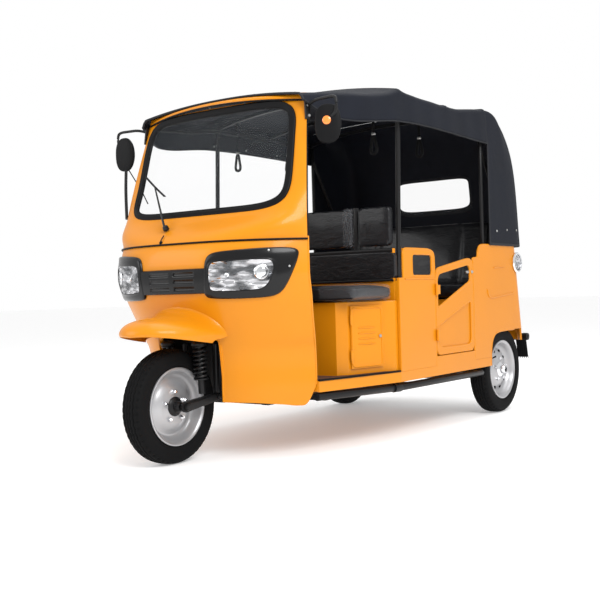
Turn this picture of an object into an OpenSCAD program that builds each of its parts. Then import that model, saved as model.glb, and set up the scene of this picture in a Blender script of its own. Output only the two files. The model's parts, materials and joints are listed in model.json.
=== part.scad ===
/* [Overall] */
// Distance between the front and rear axles
wheelbase = 2250; // [2240:5:2260]
// Distance between the centres of the two rear tyres
track = 1090; // [1084:2:1092]
// Width of the body across its side panels
body_w = 1240; // [1236:2:1248]
// Thickness of the body's walls
wall_t = 12; // [10:1:12]
/* [Wheels] */
// Outer radius of a tyre
tyre_r = 257.5; // [255:0.5:260]
// Width of a tyre
tyre_w = 110; // [104:2:112]
// Radius of the rim that the tyre sits on
rim_r = 167; // [164:1:170]
/* [Steering] */
// Lean of the steering column from upright, in degrees
steer_tilt = 24; // [22:1:25]
// How far the column's line meets the ground ahead of the front axle
steer_trail = 40; // [34:2:46]
// Radius of the steering column
column_r = 20; // [18:1:20]
/* [Heights] */
// Underside of the sills
sill_z = 294; // [290:1:298]
// Top of the floor
floor_z = 345; // [342:1:350]
// Seam between the lower cowl and the windscreen panel
seam_z = 988; // [980:2:996]
// Belt line of the rear body
belt_z = 1000; // [994:2:1004]
// Crown of the roof
roof_z = 1800; // [1790:2:1810]
/* [Doors] */
// Front edge of the half door
door_y0 = 182; // [178:1:186]
// Rear edge of the half door
door_y1 = 630; // [626:1:634]
// Underside of the half door
door_z0 = 402; // [400:1:408]
/* [Hidden] */
$fn = 48;
front_y = -1200;
rear_y = front_y + wheelbase;
side_x = body_w / 2;
axle_z = tyre_r;
clear = 0.3;
body_colour = [0.93, 0.58, 0.08];
black = [0.06, 0.06, 0.07];
steel = [0.72, 0.72, 0.72];

// ---- steering line: meets the ground ahead of the axle and leans back with height
function steer_y(z) = front_y - steer_trail + z * tan(steer_tilt);
module on_column(z) translate([0, steer_y(z), z]) rotate([-steer_tilt, 0, 0]) children();

// ---- small building blocks
module box(a, b) translate(a) cube([b[0] - a[0], b[1] - a[1], b[2] - a[2]]);
module both_sides() { children(); mirror([1, 0, 0]) children(); }
module rounded(w, h, r) {
    square([w - 2 * r, h], center = true);
    square([w, h - 2 * r], center = true);
    for (sx = [-1, 1])
        for (sy = [-1, 1])
            translate([sx * (w / 2 - r), sy * (h / 2 - r)])
                circle(r);
}
// a plate standing in the side plane: its outline is drawn as [y, z], and it fills x0 to x1
module side_plate(x0, x1) translate([x0, 0, 0]) rotate([90, 0, 90]) linear_extrude(x1 - x0) children();
// a straight round bar between two points
module bar(a, b, r) {
    v = b - a;
    translate(a) rotate([0, acos(v[2] / norm(v)), atan2(v[1], v[0])]) cylinder(h = norm(v), r = r);
}
module bar_path(points, r) {
    for (i = [0:len(points) - 2])
        bar(points[i], points[i + 1], r);
    for (i = [1:1:len(points) - 2])
        translate(points[i]) sphere(r + 1.5, $fn = 24);
}
// closed wall between an outer and an inner grid of points; ring joins the last column to the first
module grid_wall(outer, inner, ring = false) {
    rows = len(outer);
    cols = len(outer[0]);
    n = rows * cols;
    spans = ring ? cols - 1 : cols - 2;
    polyhedron(
        points = concat([for (r = outer) for (p = r) p], [for (r = inner) for (p = r) p]),
        faces = concat(
            [for (i = [0:rows - 2]) for (j = [0:spans]) let (k = (j + 1) % cols, a = i * cols, b = a + cols)
                each [[a + j, b + j, b + k], [a + j, b + k, a + k]]],
            [for (i = [0:rows - 2]) for (j = [0:spans]) let (k = (j + 1) % cols, a = n + i * cols, b = a + cols)
                each [[a + j, b + k, b + j], [a + j, a + k, b + k]]],
            [for (j = [0:spans]) let (k = (j + 1) % cols, b = (rows - 1) * cols)
                each [[j, k, n + k], [j, n + k, n + j], [b + j, n + b + k, b + k], [b + j, n + b + j, n + b + k]]],
            ring ? [] : [for (i = [0:rows - 2]) let (a = i * cols, b = a + cols, e = cols - 1)
                each [[a, n + a, n + b], [a, n + b, b], [a + e, b + e, n + b + e], [a + e, n + b + e, n + a + e]]]));
}

// ---- front shell: each level runs from the nose line back to the rear edge as a power curve in plan
function shell_w(z) = lookup(z, [[300, 495], [500, 502], [550, 521], [660, 548], [740, 568], [850, 582], [seam_z, 575],
    [1130, 565], [1640, 496]]);
function nose_y(z) = front_y + lookup(z, [[280, 132], [540, 121], [660, 76], [740, 50], [850, 36], [seam_z, 66],
    [1130, 236], [1640, 368]]);
function edge_y(z) = front_y + lookup(z, [[300, 440], [500, 430], [550, 400], [660, 351], [740, 318], [850, 285],
    [seam_z, 295], [1130, 310], [1640, 430]]);
function shell_p(z) = lookup(z, [[seam_z, 3], [1130, 10], [1640, 2.2]]);
function shell_y(x, z) = nose_y(z) + (edge_y(z) - nose_y(z)) * pow(min(1, abs(x) / shell_w(z)), shell_p(z));
// a point on the shell at turn t, from -90 at the right edge to 90 at the left, set in by depth
function shell_at(t, z, depth = 0) = [sin(t) * (shell_w(z) - depth),
    nose_y(z) + depth + (edge_y(z) - nose_y(z) - depth) * pow(abs(sin(t)), shell_p(z)), z];
// the turn at which the shell reaches x
function turn_of(x, z) = asin(max(-1, min(1, x / shell_w(z))));

// ---- plan of the lower body: it widens from the front shell's rear edge to the driver's seat back
nose_x = 512;
nose_end_y = front_y + 442;
part_y = -200;
function plan_x(y) = lookup(y, [[nose_end_y, nose_x], [part_y, side_x]]);
module sill_strip(near, far, z0, z1, y0, y1) translate([0, 0, z0]) linear_extrude(z1 - z0) polygon([
    [plan_x(y0) - near, y0], [side_x - near, part_y], [side_x - near, y1],
    [side_x - far, y1], [side_x - far, part_y], [plan_x(y0) - far, y0]]);

// ---- front wheel well
mouth_x = 186;
well_x = 218;
well_back_y = front_y + 318;
well_top_z = 600;
beak_root_z = 566;

// lower cowl: columns 8 and 9 stand close to each side of the wheel opening's sharp edge
function cowl_x(k, z) = abs(k) < 9 ? k * mouth_x / 8
    : sign(k) * (mouth_x + 3 + (shell_w(z) - mouth_x - 3) * sin(9 * (abs(k) - 9)));
function cowl_foot(k) = abs(k) < 9 ? 526 + 52 * pow(cos(11.2 * k), 0.42)
    : lookup(abs(k), [[9, 266], [15, 240], [16, 240], [17, 256], [18, 286], [19, 317]]);
function cowl_z(k, v) = v < 5 ? cowl_foot(k) + (610 - cowl_foot(k)) * v / 5 : 610 + (seam_z - 610) * (v - 5) / 10;
function cowl_grid(depth) = [for (v = [0:15]) [for (k = [-19:19]) let (z = cowl_z(k, v))
    shell_at(turn_of(cowl_x(k, z), z), z, depth)]];

// beak: a lip that grows out of the cowl over the front wheel
beak_long = 236;
function beak_edge(t) = [208 * sin(t), front_y + 128 - (beak_long + 128) * pow(max(0, cos(t)), 0.75),
    541 + 43 * cos(t) + 8 * sin(2 * abs(t))];
function beak_root(t) = let (x = 235 * sin(t), z = beak_root_z + 110 * cos(t)) [x, shell_y(x, z) - 4, z];
function beak_grid(drop) = [for (v = [0:6]) let (f = v / 6) [for (i = [0:20]) let (t = -84 + 8.4 * i,
    a = beak_root(t), b = beak_edge(t)) a + (b - a) * f + [-0.9 * drop * sin(t), 0.45 * drop,
        26 * sin(180 * f) * cos(t) - drop * (0.15 + 0.85 * cos(t))]]];

module front_cowl() color(body_colour) grid_wall(cowl_grid(0), cowl_grid(wall_t));
module front_beak() color(body_colour) grid_wall(beak_grid(9), beak_grid(0));
module wheel_well() color(black) {
    both_sides() side_plate(well_x, well_x + 8) polygon(concat(
        [for (z = [288:30:588]) [shell_y(well_x + 10, z) + wall_t + 6, z]],
        [[shell_y(well_x + 10, 608) + wall_t + 6, well_top_z + 8], [well_back_y + 8, well_top_z + 8], [well_back_y + 8, 288]]));
    box([-well_x - 1, well_back_y, 292], [well_x + 1, well_back_y + 8, well_top_z + 8]);
    difference() {
        box([-well_x - 1, front_y + 134, well_top_z], [well_x + 1, well_back_y + 1, well_top_z + 8]);
        on_column(well_top_z) cylinder(h = 120, r = 62, center = true);
    }
}

// ---- windscreen opening: a rounded outline that narrows upwards
screen_z0 = 1132;
screen_z1 = 1628;
screen_mid_z = (screen_z0 + screen_z1) / 2;
function screen_half_w(z) = 480 - 32 * (z - screen_z0) / (screen_z1 - screen_z0);
function screen_outline(turn, grow) = let (p = 2 / 7,
    z = screen_mid_z + ((screen_z1 - screen_z0) / 2 + grow) * sign(sin(turn)) * pow(abs(sin(turn)), p))
    [(screen_half_w(z) + grow) * sign(cos(turn)) * pow(abs(cos(turn)), p), z];
function panel_frame(turn, f, depth) = let (m = max(abs(cos(turn)), abs(sin(turn))), a = screen_outline(turn, 0),
    z1 = sin(turn) > 0 ? 1648 : seam_z,
    zo = screen_mid_z + (z1 - screen_mid_z) * abs(sin(turn)) / m,
    z = a[1] + (zo - a[1]) * f,
    to = 90 * cos(turn) / m,
    ti = turn_of(a[0], a[1])) shell_at(ti + (to - ti) * f, z, depth);
function panel_ring(depth) = [for (f = [0, 0.15, 0.4, 0.7, 0.9, 1]) [for (turn = [0:7.5:359]) panel_frame(turn, f, depth)]];
module windscreen_panel() color(body_colour) grid_wall(panel_ring(wall_t), panel_ring(0), true);

function screen_ring(grow, out) = [for (turn = [0:7.5:359]) let (a = screen_outline(turn, grow))
    [a[0], shell_y(a[0], a[1]) + out, a[1]]];
module windscreen_seal() color(black)
    grid_wall([screen_ring(-20, -5), screen_ring(14, -5)], [screen_ring(-20, -12), screen_ring(14, -12)], true);
function glass_grid(out) = [for (v = [0:12]) let (n = -0.985 + 1.97 * v / 12, z = screen_mid_z
    + n * (screen_z1 - screen_z0 - 8) / 2, w = (screen_half_w(z) - 9) * pow(1 - pow(abs(n), 7), 1 / 7))
    [for (u = [-10:10]) [w * u / 10, shell_y(w * u / 10, z) + out, z]]];
module windscreen_glass() color([0.7, 0.8, 0.85, 0.4]) grid_wall(glass_grid(1), glass_grid(6));

function seam_grid(out) = [for (z = [seam_z - 7, seam_z + 7]) [for (t = [-88:4:88]) shell_at(t, z, out)]];
module cowl_seam() color(black) grid_wall(seam_grid(-8), seam_grid(-4.5));

// ---- visor over the windscreen
function visor_row(f, z) = [for (u = [-10:10]) let (x = 49 * u, m = 1 - pow(u / 10, 2))
    [x, shell_y(x, 1640) + f * (0.12 + 0.88 * m), z - 14 * (1 - m)]];
module front_visor() color(body_colour)
    grid_wall([visor_row(-26, 1668), visor_row(6, 1676), visor_row(36, 1688)],
        [visor_row(-26, 1658), visor_row(6, 1666), visor_row(36, 1678)]);

// ---- headlamps set in dark surrounds, with the louvred band between them
lamp_z0 = 764;
lamp_z1 = 902;
function lamp_grid(x0, x1, z0, z1, out, skew) = [for (v = [0:4]) [for (u = [0:8]) let (z = z0 + (z1 - z0) * v / 4,
    x = x0 + (x1 - x0) * u / 8 + skew * (v / 4 - 0.5) * u / 8) [x, shell_y(x, z) + out, z]]];
function band_grid(out) = [for (z = [762:12:870]) [for (u = [-8:8]) [24.4 * u, shell_y(24.4 * u, z) + out, z]]];
module headlamp_surrounds() color(black) both_sides() difference() {
    grid_wall(lamp_grid(200, 546, 738, 938, -15, 52), lamp_grid(200, 546, 738, 938, -5, 52));
    translate([351, front_y, (lamp_z0 + lamp_z1) / 2]) rotate([90, 0, 0])
        linear_extrude(600, center = true) rounded(270, lamp_z1 - lamp_z0, 24);
}
module headlamps() color([0.85, 0.87, 0.9]) both_sides()
    grid_wall(lamp_grid(225, 477, lamp_z0 + 9, lamp_z1 - 9, -10, 0), lamp_grid(225, 477, lamp_z0 + 9, lamp_z1 - 9, -4, 0));
module grille_band() color(black)
    grid_wall(band_grid(-11), band_grid(-2));

// ---- wiper
wiper_foot = [-130, shell_y(-130, 1058) - 8, 1058];
wiper_mid = [-342, shell_y(-342, 1291) - 24, 1291];
module wiper() color(black) {
    translate(wiper_foot) rotate([40, 0, 0]) cylinder(h = 18, r = 15);
    bar(wiper_foot + [0, -14, 4], wiper_mid, 5);
    bar([-420, shell_y(-420, 1347) - 15, 1347], [-264, shell_y(-264, 1235) - 15, 1235], 6);
    bar(wiper_mid + [0, -4, 0], wiper_mid + [0, 9, -1], 6.5);
}

// ---- mirrors on bent arms from the roof corners, each braced to the screen's lower corner
mirror_at = [641, front_y + 383, 1495];
module mirrors() color(black) {
    one_mirror(26);
    mirror([1, 0, 0]) one_mirror(-4);
    bar([-634, front_y + 384, 1420], [-574, front_y + 318, 1152], 6);
}
module one_mirror(turn) {
    translate(mirror_at) rotate([90, 0, turn]) linear_extrude(28, center = true) rounded(115, 172, 40);
    bar([513, front_y + 424, 1602], [582, front_y + 402, 1614], 7);
    bar([578, front_y + 403, 1613], [672, front_y + 386, 1610], 7.8);
    bar([668, front_y + 387, 1612], [684, front_y + 383, 1540], 7);
    translate([508, front_y + 426, 1600]) rotate([0, 70, 0]) cylinder(h = 16, r = 12);
}

// ---- chassis
rail_x = 262;
head_z0 = 630;
head_z1 = 800;
module chassis_frame() color(black) {
    difference() {
        union() {
            on_column(head_z0) cylinder(h = (head_z1 - head_z0) / cos(steer_tilt), r = 33);
            box([-36, well_back_y - 34, 690], [36, well_back_y + 62, 760]);
        }
        on_column(head_z0) translate([0, 0, -50]) cylinder(h = 400, r = column_r + 0.08);
    }
    box([-36, well_back_y + 14, 238], [36, well_back_y + 62, 700]);
    both_sides() difference() {
        box([rail_x, well_back_y + 14, 238], [rail_x + 40, rear_y + 250, 290]);
        translate([rail_x - 1, rear_y, axle_z]) rotate([0, 90, 0]) cylinder(h = 42, r = 19);
    }
    for (y = [well_back_y + 14, -220, 420])
        box([-rail_x - 1, y, 240], [rail_x + 1, y + 46, 288]);
    both_sides() {
        bar([nose_x - 20, nose_end_y + 8, 272], [side_x - 29, part_y - 4, 266], 19);
        bar([side_x - 28, part_y + 4, 266], [side_x - 28, rear_y - 292, 262], 19);
        box([rail_x + 39, -700, 250], [nose_x - 10, -664, 282]);
        for (y = [-100, 500])
            box([rail_x + 39, y, 250], [588, y + 36, 282]);
    }
    difference() {
        box([-rail_x - 1, rear_y + 224, 240], [rail_x + 1, rear_y + 240, 290]);
        for (x = [-45, 45])
            for (z = [252.5, 277.5])
                translate([x, rear_y + 220, z]) rotate([-90, 0, 0]) cylinder(h = 40, r = 5);
    }
    both_sides() box([rail_x + 10, rear_y + 236, 289], [rail_x + 34, rear_y + 250, 419]);
    both_sides() box([rail_x + 10, rear_y + 236, 398], [rail_x + 34, rear_y + 360, 419]);
}
// the front half of the floor narrows towards the front shell
module floor_outline(inset, y0, y1) polygon(concat(
    [for (p = [[-nose_x, nose_end_y], [-470, y0], [470, y0], [nose_x, nose_end_y]]) [p[0] - sign(p[0]) * inset, max(p[1], y0)]],
    [[plan_x(y1) - inset, y1], [-plan_x(y1) + inset, y1]]));
module floor_pan() color(body_colour) {
    translate([0, 0, floor_z - 14]) linear_extrude(14) floor_outline(30, well_back_y + 62 + clear, part_y);
    box([-side_x + 14, part_y - 1, floor_z - 14], [side_x - 14, 520, floor_z]);
    box([-side_x + 150, 520, floor_z - 14], [side_x - 150, 650, floor_z]);
    for (y = [-640, -60, 460])
        box([-rail_x - 30, y, 290], [rail_x + 30, y + 60, floor_z - 13]);
}
module floor_mat() color([0.2, 0.12, 0.09])
    translate([0, 0, floor_z]) linear_extrude(5) floor_outline(32, well_back_y + 70, -552);

// ---- driver's seat
box_y0 = -548;
module seat_outline(inset) polygon([[-512 + inset, box_y0 + 40], [-470 + inset, box_y0 + inset], [470 - inset, box_y0 + inset],
    [512 - inset, box_y0 + 40], [566 - inset, -270], [606 - inset, -226], [606 - inset, part_y],
    [-606 + inset, part_y], [-606 + inset, -226], [-566 + inset, -270]]);
hatch_lean = atan2(54, 238);
module in_hatch_plane() translate([512, box_y0 + 40, 0]) rotate([0, 0, -hatch_lean]) children();
module seat_box() color(body_colour) difference() {
    translate([0, 0, floor_z]) linear_extrude(355) seat_outline(0);
    translate([0, 0, floor_z - 1]) linear_extrude(346) seat_outline(wall_t);
    in_hatch_plane() box([-40, 22, 388], [40, 216, 672]);
}
// access door in the left end of the seat box, hinged along its front edge
module seat_box_door() color(body_colour) in_hatch_plane() {
    box([0.6, 12, 380], [10, 226, 680]);
    for (z = [420, 590]) {
        translate([14, 8, z]) cylinder(h = 50, r = 5);
        box([9, 8, z + 3], [14, 34, z + 47]);
    }
    translate([10, 205, 530]) rotate([0, 90, 0]) cylinder(h = 6, r = 9);
}
module driver_cushion() color(black)
    translate([-598, -397, 742]) rotate([90, 0, 90]) linear_extrude(1196) rounded(356, 82, 34);
module driver_backrest() color(black) {
    box([-358, part_y - 18, 976], [358, part_y + 26, 1170]);
    both_sides() box([394, part_y - 18, 976], [584, part_y + 26, 1170]);
    both_sides() box([364, part_y - 8, 960 + clear], [388, part_y + 16, 1172]);
}
module partition() color(body_colour) {
    box([-594, part_y, floor_z], [594, part_y + wall_t, 806]);
    box([-594, part_y - 6, 800], [594, part_y + 22, 812]);
    box([-588, part_y - 4, 812], [588, part_y + 14, 936]);
    box([-594, part_y - 8, 936], [594, part_y + 16, 960]);
}

// ---- body sides
arch_y0 = rear_y - 206;
arch_y1 = rear_y + 262;
quarter_y1 = rear_y + 128;
module side_sills() color(body_colour) both_sides() {
    sill_strip(0, wall_t, sill_z, floor_z, nose_end_y + 2, arch_y0 - 1);
    sill_strip(wall_t - 1, 60, sill_z + 2, floor_z - 15, nose_end_y + 2, arch_y0 - 64);
    box([side_x - wall_t, door_y0 - 6 + clear, floor_z - 1], [side_x, door_y1 + 6 - clear, door_z0 - 6]);
}
module post_outline() difference() {
    union() {
        translate([part_y - 0, floor_z]) square([door_y0 - 6 - part_y, 812 - floor_z]);
        translate([-148, 800]) square([door_y0 - 66 + 148, 160]);
        translate([-148, 800]) square([door_y0 - 6 + 148, 100]);
        translate([door_y0 - 66, 900]) circle(60);
    }
    translate([42, 877]) rounded(212, 117, 24);
}
module b_post_panels() color(body_colour) both_sides() {
    side_plate(side_x - wall_t, side_x) post_outline();
    box([594 + clear, part_y + 1, floor_z], [side_x - wall_t + 1, part_y + 13, 798]);
}
module quarter_outline() difference() {
    union() {
        translate([door_y1 + 6, floor_z + clear]) square([quarter_y1 - door_y1 - 6, belt_z - floor_z - 80]);
        translate([762, 900]) square([quarter_y1 - 762, belt_z - 900]);
        translate([762, belt_z - 60]) circle(60);
    }
    polygon([[arch_y0, 200], [arch_y0 + 4, 380], [arch_y0 + 26, 450], [arch_y0 + 70, 488], [arch_y1 - 90, 492],
        [arch_y1 - 40, 466], [arch_y1 + 4, 400], [arch_y1 + 60, 400], [arch_y1 + 60, 200]]);
}
module quarter_panels() color(body_colour) both_sides() {
    side_plate(side_x - wall_t, side_x) quarter_outline();
    box([462, arch_y0 - 60, 548], [side_x - wall_t + 1, quarter_y1, 560]);
    box([462, quarter_y1 - 1, 548], [side_x - wall_t - 1, rear_y + 212, 560]);
    box([450, arch_y0 - 60, floor_z], [462, rear_y + 212, 560]);
    box([462, arch_y0 - 60, floor_z], [side_x - wall_t, arch_y0 - 50, 549]);
}
// rear wall: wraps both rear corners and leans in towards the belt
rear_r = 96;
function tail_y(z) = rear_y + lookup(z, [[420, 318], [480, 316], [1000, 233]]);
// each level's height at corner angle a: the panel's foot steps up over the wheel arch
function tail_z(a, v) = let (foot = a < 20 ? 494 : 420) foot + (belt_z - foot) * v / 4;
function tail_point(sx, a, z, depth) = a < 0 ? [sx * (side_x - depth), quarter_y1 + clear, z]
    : [sx * (side_x - rear_r + (rear_r - depth) * cos(a)), tail_y(z) - rear_r + (rear_r - depth) * sin(a), z];
function tail_row(v, depth) = concat(
    [for (a = [-15:15:90]) tail_point(1, a, tail_z(a, v), depth)],
    [for (k = [3:-1:-3]) let (z = tail_z(90, v)) [(side_x - rear_r) * k / 4, tail_y(z) - depth, z]],
    [for (a = [90:-15:-15]) tail_point(-1, a, tail_z(a, v), depth)]);
hatch_x = 330;
hatch_z0 = 470;
hatch_z1 = 800;
module rear_panel() color(body_colour) difference() {
    grid_wall([for (v = [0:4]) tail_row(v, 0)], [for (v = [0:4]) tail_row(v, wall_t)]);
    box([-hatch_x, rear_y + 200, hatch_z0], [hatch_x, rear_y + 400, hatch_z1]);
}
module engine_hatch() color(body_colour) {
    hatch_plate();
    for (x = [-240, 180]) {
        translate([x, rear_y + 285.5, 799]) rotate([0, 90, 0]) cylinder(h = 60, r = 6.5);
        box([x + 4, rear_y + 262, 770], [x + 56, rear_y + 288, 796]);
    }
}
module hatch_plate() difference() {
    grid_wall([for (z = [hatch_z0 + 6, hatch_z1 - 6]) [for (x = [hatch_x - 6, -hatch_x + 6]) [x, tail_y(z), z]]],
        [for (z = [hatch_z0 + 6, hatch_z1 - 6]) [for (x = [hatch_x - 6, -hatch_x + 6]) [x, tail_y(z) - wall_t, z]]]);
    for (i = [0:5])
        box([-180, rear_y + 200, 540 + 26 * i], [180, rear_y + 400, 550 + 26 * i]);
}

// ---- roof frame and canopy
post_x = 598;
post_y = part_y + 36;
post_top_y = post_y + 36;
function rail_z(y) = lookup(y, [[-400, 1656], [post_top_y, 1694], [900, 1706]]);
rail_ys = [-400, post_top_y, 400, 826];
module bow(y) translate([0, y + 11, 0]) rotate([90, 0, 0]) linear_extrude(22) polygon(concat(
    [for (u = [-8:8]) [590 * u / 8, 1776 - 62 * pow(abs(u) / 8, 2.2)]],
    [for (u = [8:-1:-8]) [590 * u / 8, 1758 - 62 * pow(abs(u) / 8, 2.2)]]));
module roof_frame() color(black) {
    both_sides() {
        bar([post_x, post_y, 812], [post_x, post_top_y, 1690], 12);
        side_plate(post_x - 11, post_x + 11) polygon(concat([for (y = rail_ys) [y, rail_z(y) + 10]],
            [for (i = [len(rail_ys) - 1:-1:0]) [rail_ys[i], rail_z(rail_ys[i]) - 10]]));
        bar([484, -768, 1612], [596, -396, 1656], 9);
        bar([post_x - 2, 812, belt_z - 10], [post_x - 2, 812, 1690], 10.5);
        bar([594, 1206, belt_z - 4], [588, 812, 1600], 9);
    }
    for (y = [post_top_y, 350, 790])
        bow(y);
}
cloth_t = 8;
function roof_mid(y) = lookup(y, [[-810, 1686], [-600, 1716], [-400, 1744], [-160, roof_z + 4], [300, roof_z - 6], [700, roof_z + 4], [860, roof_z + 12]]);
function roof_edge(y) = lookup(y, [[-810, 1652], [-600, 1672], [-400, 1692], [-160, 1748], [-40, 1736], [500, 1742], [700, 1770], [860, 1788]]);
function hem_z(y) = lookup(y, [[-810, 1618], [-700, 1560], [-600, 1545], [-160, 1588], [880, 1590]]);
function roof_half(y) = lookup(y, [[-810, 505], [-600, 590], [-400, 622], [880, 626]]);
function roof_row(y, d) = let (w = roof_half(y) - d, m = roof_mid(y) - d, s = roof_edge(y) - d) concat(
    [[w + 6, y, hem_z(y)], [w + 2, y, (hem_z(y) + s) / 2], [w - 6, y, s - 14]],
    [for (u = [5:-1:-5]) [(w - 22) * u / 5, y, m - (m - s) * pow(abs(u) / 5, 2.2)]],
    [[-w + 6, y, s - 14], [-w - 2, y, (hem_z(y) + s) / 2], [-w - 6, y, hem_z(y)]]);
roof_rows = [-756, -700, -600, -400, -240, -160, -60, 200, 500, 700, 830];
module canopy_roof() color([0.08, 0.08, 0.1])
    grid_wall([for (y = roof_rows) roof_row(y, cloth_t)], [for (y = roof_rows) roof_row(y, 0)]);
hood_back_y = rear_y + 350;
module hood(d) hull() {
    for (sx = [-1, 1]) {
        translate([sx * 544, rear_y + 220, belt_z - 40]) cylinder(h = 50, r = 80 - d, $fn = 32);
        translate([sx * 534, rear_y + 84, 1600]) sphere(90 - d, $fn = 32);
        translate([sx * 500, rear_y - 60, 1696]) sphere(62 - d, $fn = 32);
        translate([sx * 540, 780, 1704]) sphere(82 - d, $fn = 32);
        translate([sx * (620 - d) - 2, 700, belt_z - 40]) cube([4, 10, 40]);
        translate([sx * 300, hood_back_y - 86, belt_z - 40]) cylinder(h = 540, r = 60 - d, $fn = 32);
    }
    translate([0, hood_back_y - 60, belt_z - 40]) cylinder(h = 550, r = 60 - d, $fn = 32);
    translate([0, 790, roof_z - 188 - d]) cylinder(h = 200, r = 60, $fn = 32);
    translate([0, rear_y - 110, roof_z - 204 - d]) cylinder(h = 200, r = 60, $fn = 32);
}
module canopy_rear() color([0.08, 0.08, 0.1]) difference() {
    hood(0);
    hood(cloth_t);
    box([-800, 600, belt_z - 200], [800, 832, 2000]);
    box([-800, 600, belt_z - 200], [800, 1500, belt_z + 1]);
    translate([0, rear_y + 200, 1371]) rotate([90, 0, 0]) linear_extrude(400, center = true) rounded(560, 228, 44);
}
function window_row(z, in) = [for (u = [-10:10]) [27.6 * u, hood_back_y - in - 28 * pow(u / 10, 2), z]];
module rear_window() color([0.75, 0.8, 0.82, 0.35])
    grid_wall([window_row(1259, 8), window_row(1259, 11)], [window_row(1483, 8), window_row(1483, 11)]);

// ---- passenger seat
module rear_seat_box() color(body_colour) difference() {
    box([-446, 640, floor_z], [446, 940, 690]);
    box([-434, 652, floor_z - 1], [434, 928, 678]);
}
module rear_cushion() color(black)
    translate([-590, 846, 736]) rotate([90, 0, 90]) linear_extrude(1180) rounded(470, 90, 40);
module rear_backrest() color(black)
    translate([-580, 1150, 960]) rotate([90, 0, 90]) linear_extrude(1160) rotate(-10) rounded(100, 400, 44);

// ---- power unit and rear suspension
module engine_block() color([0.35, 0.36, 0.38])
    box([-205, rear_y - 90, 196], [205, rear_y + 215, 590]);
module rear_axle() color(black) both_sides() {
    bar([205 + clear, rear_y, axle_z], [432, rear_y, axle_z], 17);
    side_plate(420, 446) polygon([[rear_y - 300, 236], [rear_y - 300, 290], [rear_y - 6, axle_z + 26],
        [rear_y + 32, axle_z + 8], [rear_y + 32, axle_z - 8], [rear_y - 6, axle_z - 26]]);
    translate([440, rear_y, axle_z]) rotate([0, 90, 0]) cylinder(h = 36, r = 52);
    box([372, rear_y - 322, 226], [432, rear_y - 282, 330]);
    translate([386, rear_y, axle_z - 40]) cylinder(h = 290, r = 26);
    translate([470, rear_y, axle_z]) rotate([0, 90, 0]) cylinder(h = 78, r = 15);
}
bumper_y = tyre_r - front_y;
module rear_bumper() color(black) {
    bar([-600, bumper_y - 24, 434], [600, bumper_y - 24, 434], 22);
    both_sides() box([rail_x + 12, rear_y + 360 + clear, 404], [rail_x + 32, bumper_y - 30, 428]);
    difference() {
        box([-130, bumper_y - 8, 416], [130, bumper_y, 530]);
        for (x = [-75, 75])
            translate([x, 1440, 500]) rotate([-90, 0, 0]) cylinder(h = 40, r = 3.5);
    }
}
module mud_flaps() color([0.05, 0.05, 0.05]) both_sides()
    box([548, rear_y + 308, 300], [616, rear_y + 314, 419]);
module tail_lamps() color([0.7, 0.08, 0.05]) both_sides()
    translate([440, tail_y(900) + 25, 900]) rotate([99, 0, 0]) linear_extrude(24) rounded(150, 92, 18);
module marker_lamps() color([0.9, 0.9, 0.88]) both_sides()
    translate([side_x + clear, rear_y + 180, 901]) rotate([0, 90, 0]) cylinder(h = 16, r = 60);
module grab_straps() color(black) both_sides()
    for (strap = [[post_top_y, 1497], [350, 1530]]) {
        bar([452, strap[0], strap[1] + 30], [452, strap[0], 1713], 7);
        translate([452, strap[0], strap[1]]) rotate([90, 0, 0]) difference() {
            linear_extrude(20, center = true) rounded(64, 84, 22);
            linear_extrude(30, center = true) rounded(36, 56, 12);
        }
    }

// ---- steering: column, crown, legs and leading links
leg_x = 95;
pivot_y = front_y + 214;
pivot_z = 285;
module steering_fork() color(black) {
    on_column(560) cylinder(h = 461.7, r = column_r);
    box([-leg_x - 14, steer_y(560) - 22, 532], [leg_x + 14, steer_y(560) + 22, 562]);
    both_sides() {
        box([leg_x - 14, front_y + 92, 526], [leg_x + 14, pivot_y + 14, 544]);
        bar([leg_x, pivot_y, pivot_z], [leg_x, pivot_y, 540], 13);
        translate([leg_x - 8, pivot_y, pivot_z]) rotate([0, 90, 0]) cylinder(h = 20, r = 20);
        hull() {
            translate([leg_x - 7, pivot_y, pivot_z]) rotate([0, 90, 0]) cylinder(h = 14, r = 18, $fn = 32);
            translate([leg_x - 7, front_y, axle_z]) rotate([0, 90, 0]) cylinder(h = 14, r = 24, $fn = 32);
        }
    }
    translate([-leg_x - 16, front_y, axle_z]) rotate([0, 90, 0]) cylinder(h = 2 * leg_x + 32, r = 10);
}
module front_shocks() color([0.12, 0.12, 0.13]) both_sides() {
    bar([leg_x, front_y + 116, 300], [leg_x, front_y + 100, 420], 15);
    bar([leg_x, front_y + 106, 370], [leg_x, front_y + 99, 524], 24);
}
module handlebar() color(black) {
    on_column(560) translate([0, 0, 462]) cylinder(h = 46, r = 34);
    on_column(560) translate([0, 0, 486]) bar_path([[-285, 78, 4], [-190, 62, 6], [-90, 12, 0], [90, 12, 0], [190, 62, 6], [285, 78, 4]], 12);
    on_column(560) translate([0, -6, 486]) box([-60, -34, 0], [60, 50, 44]);
}

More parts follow.
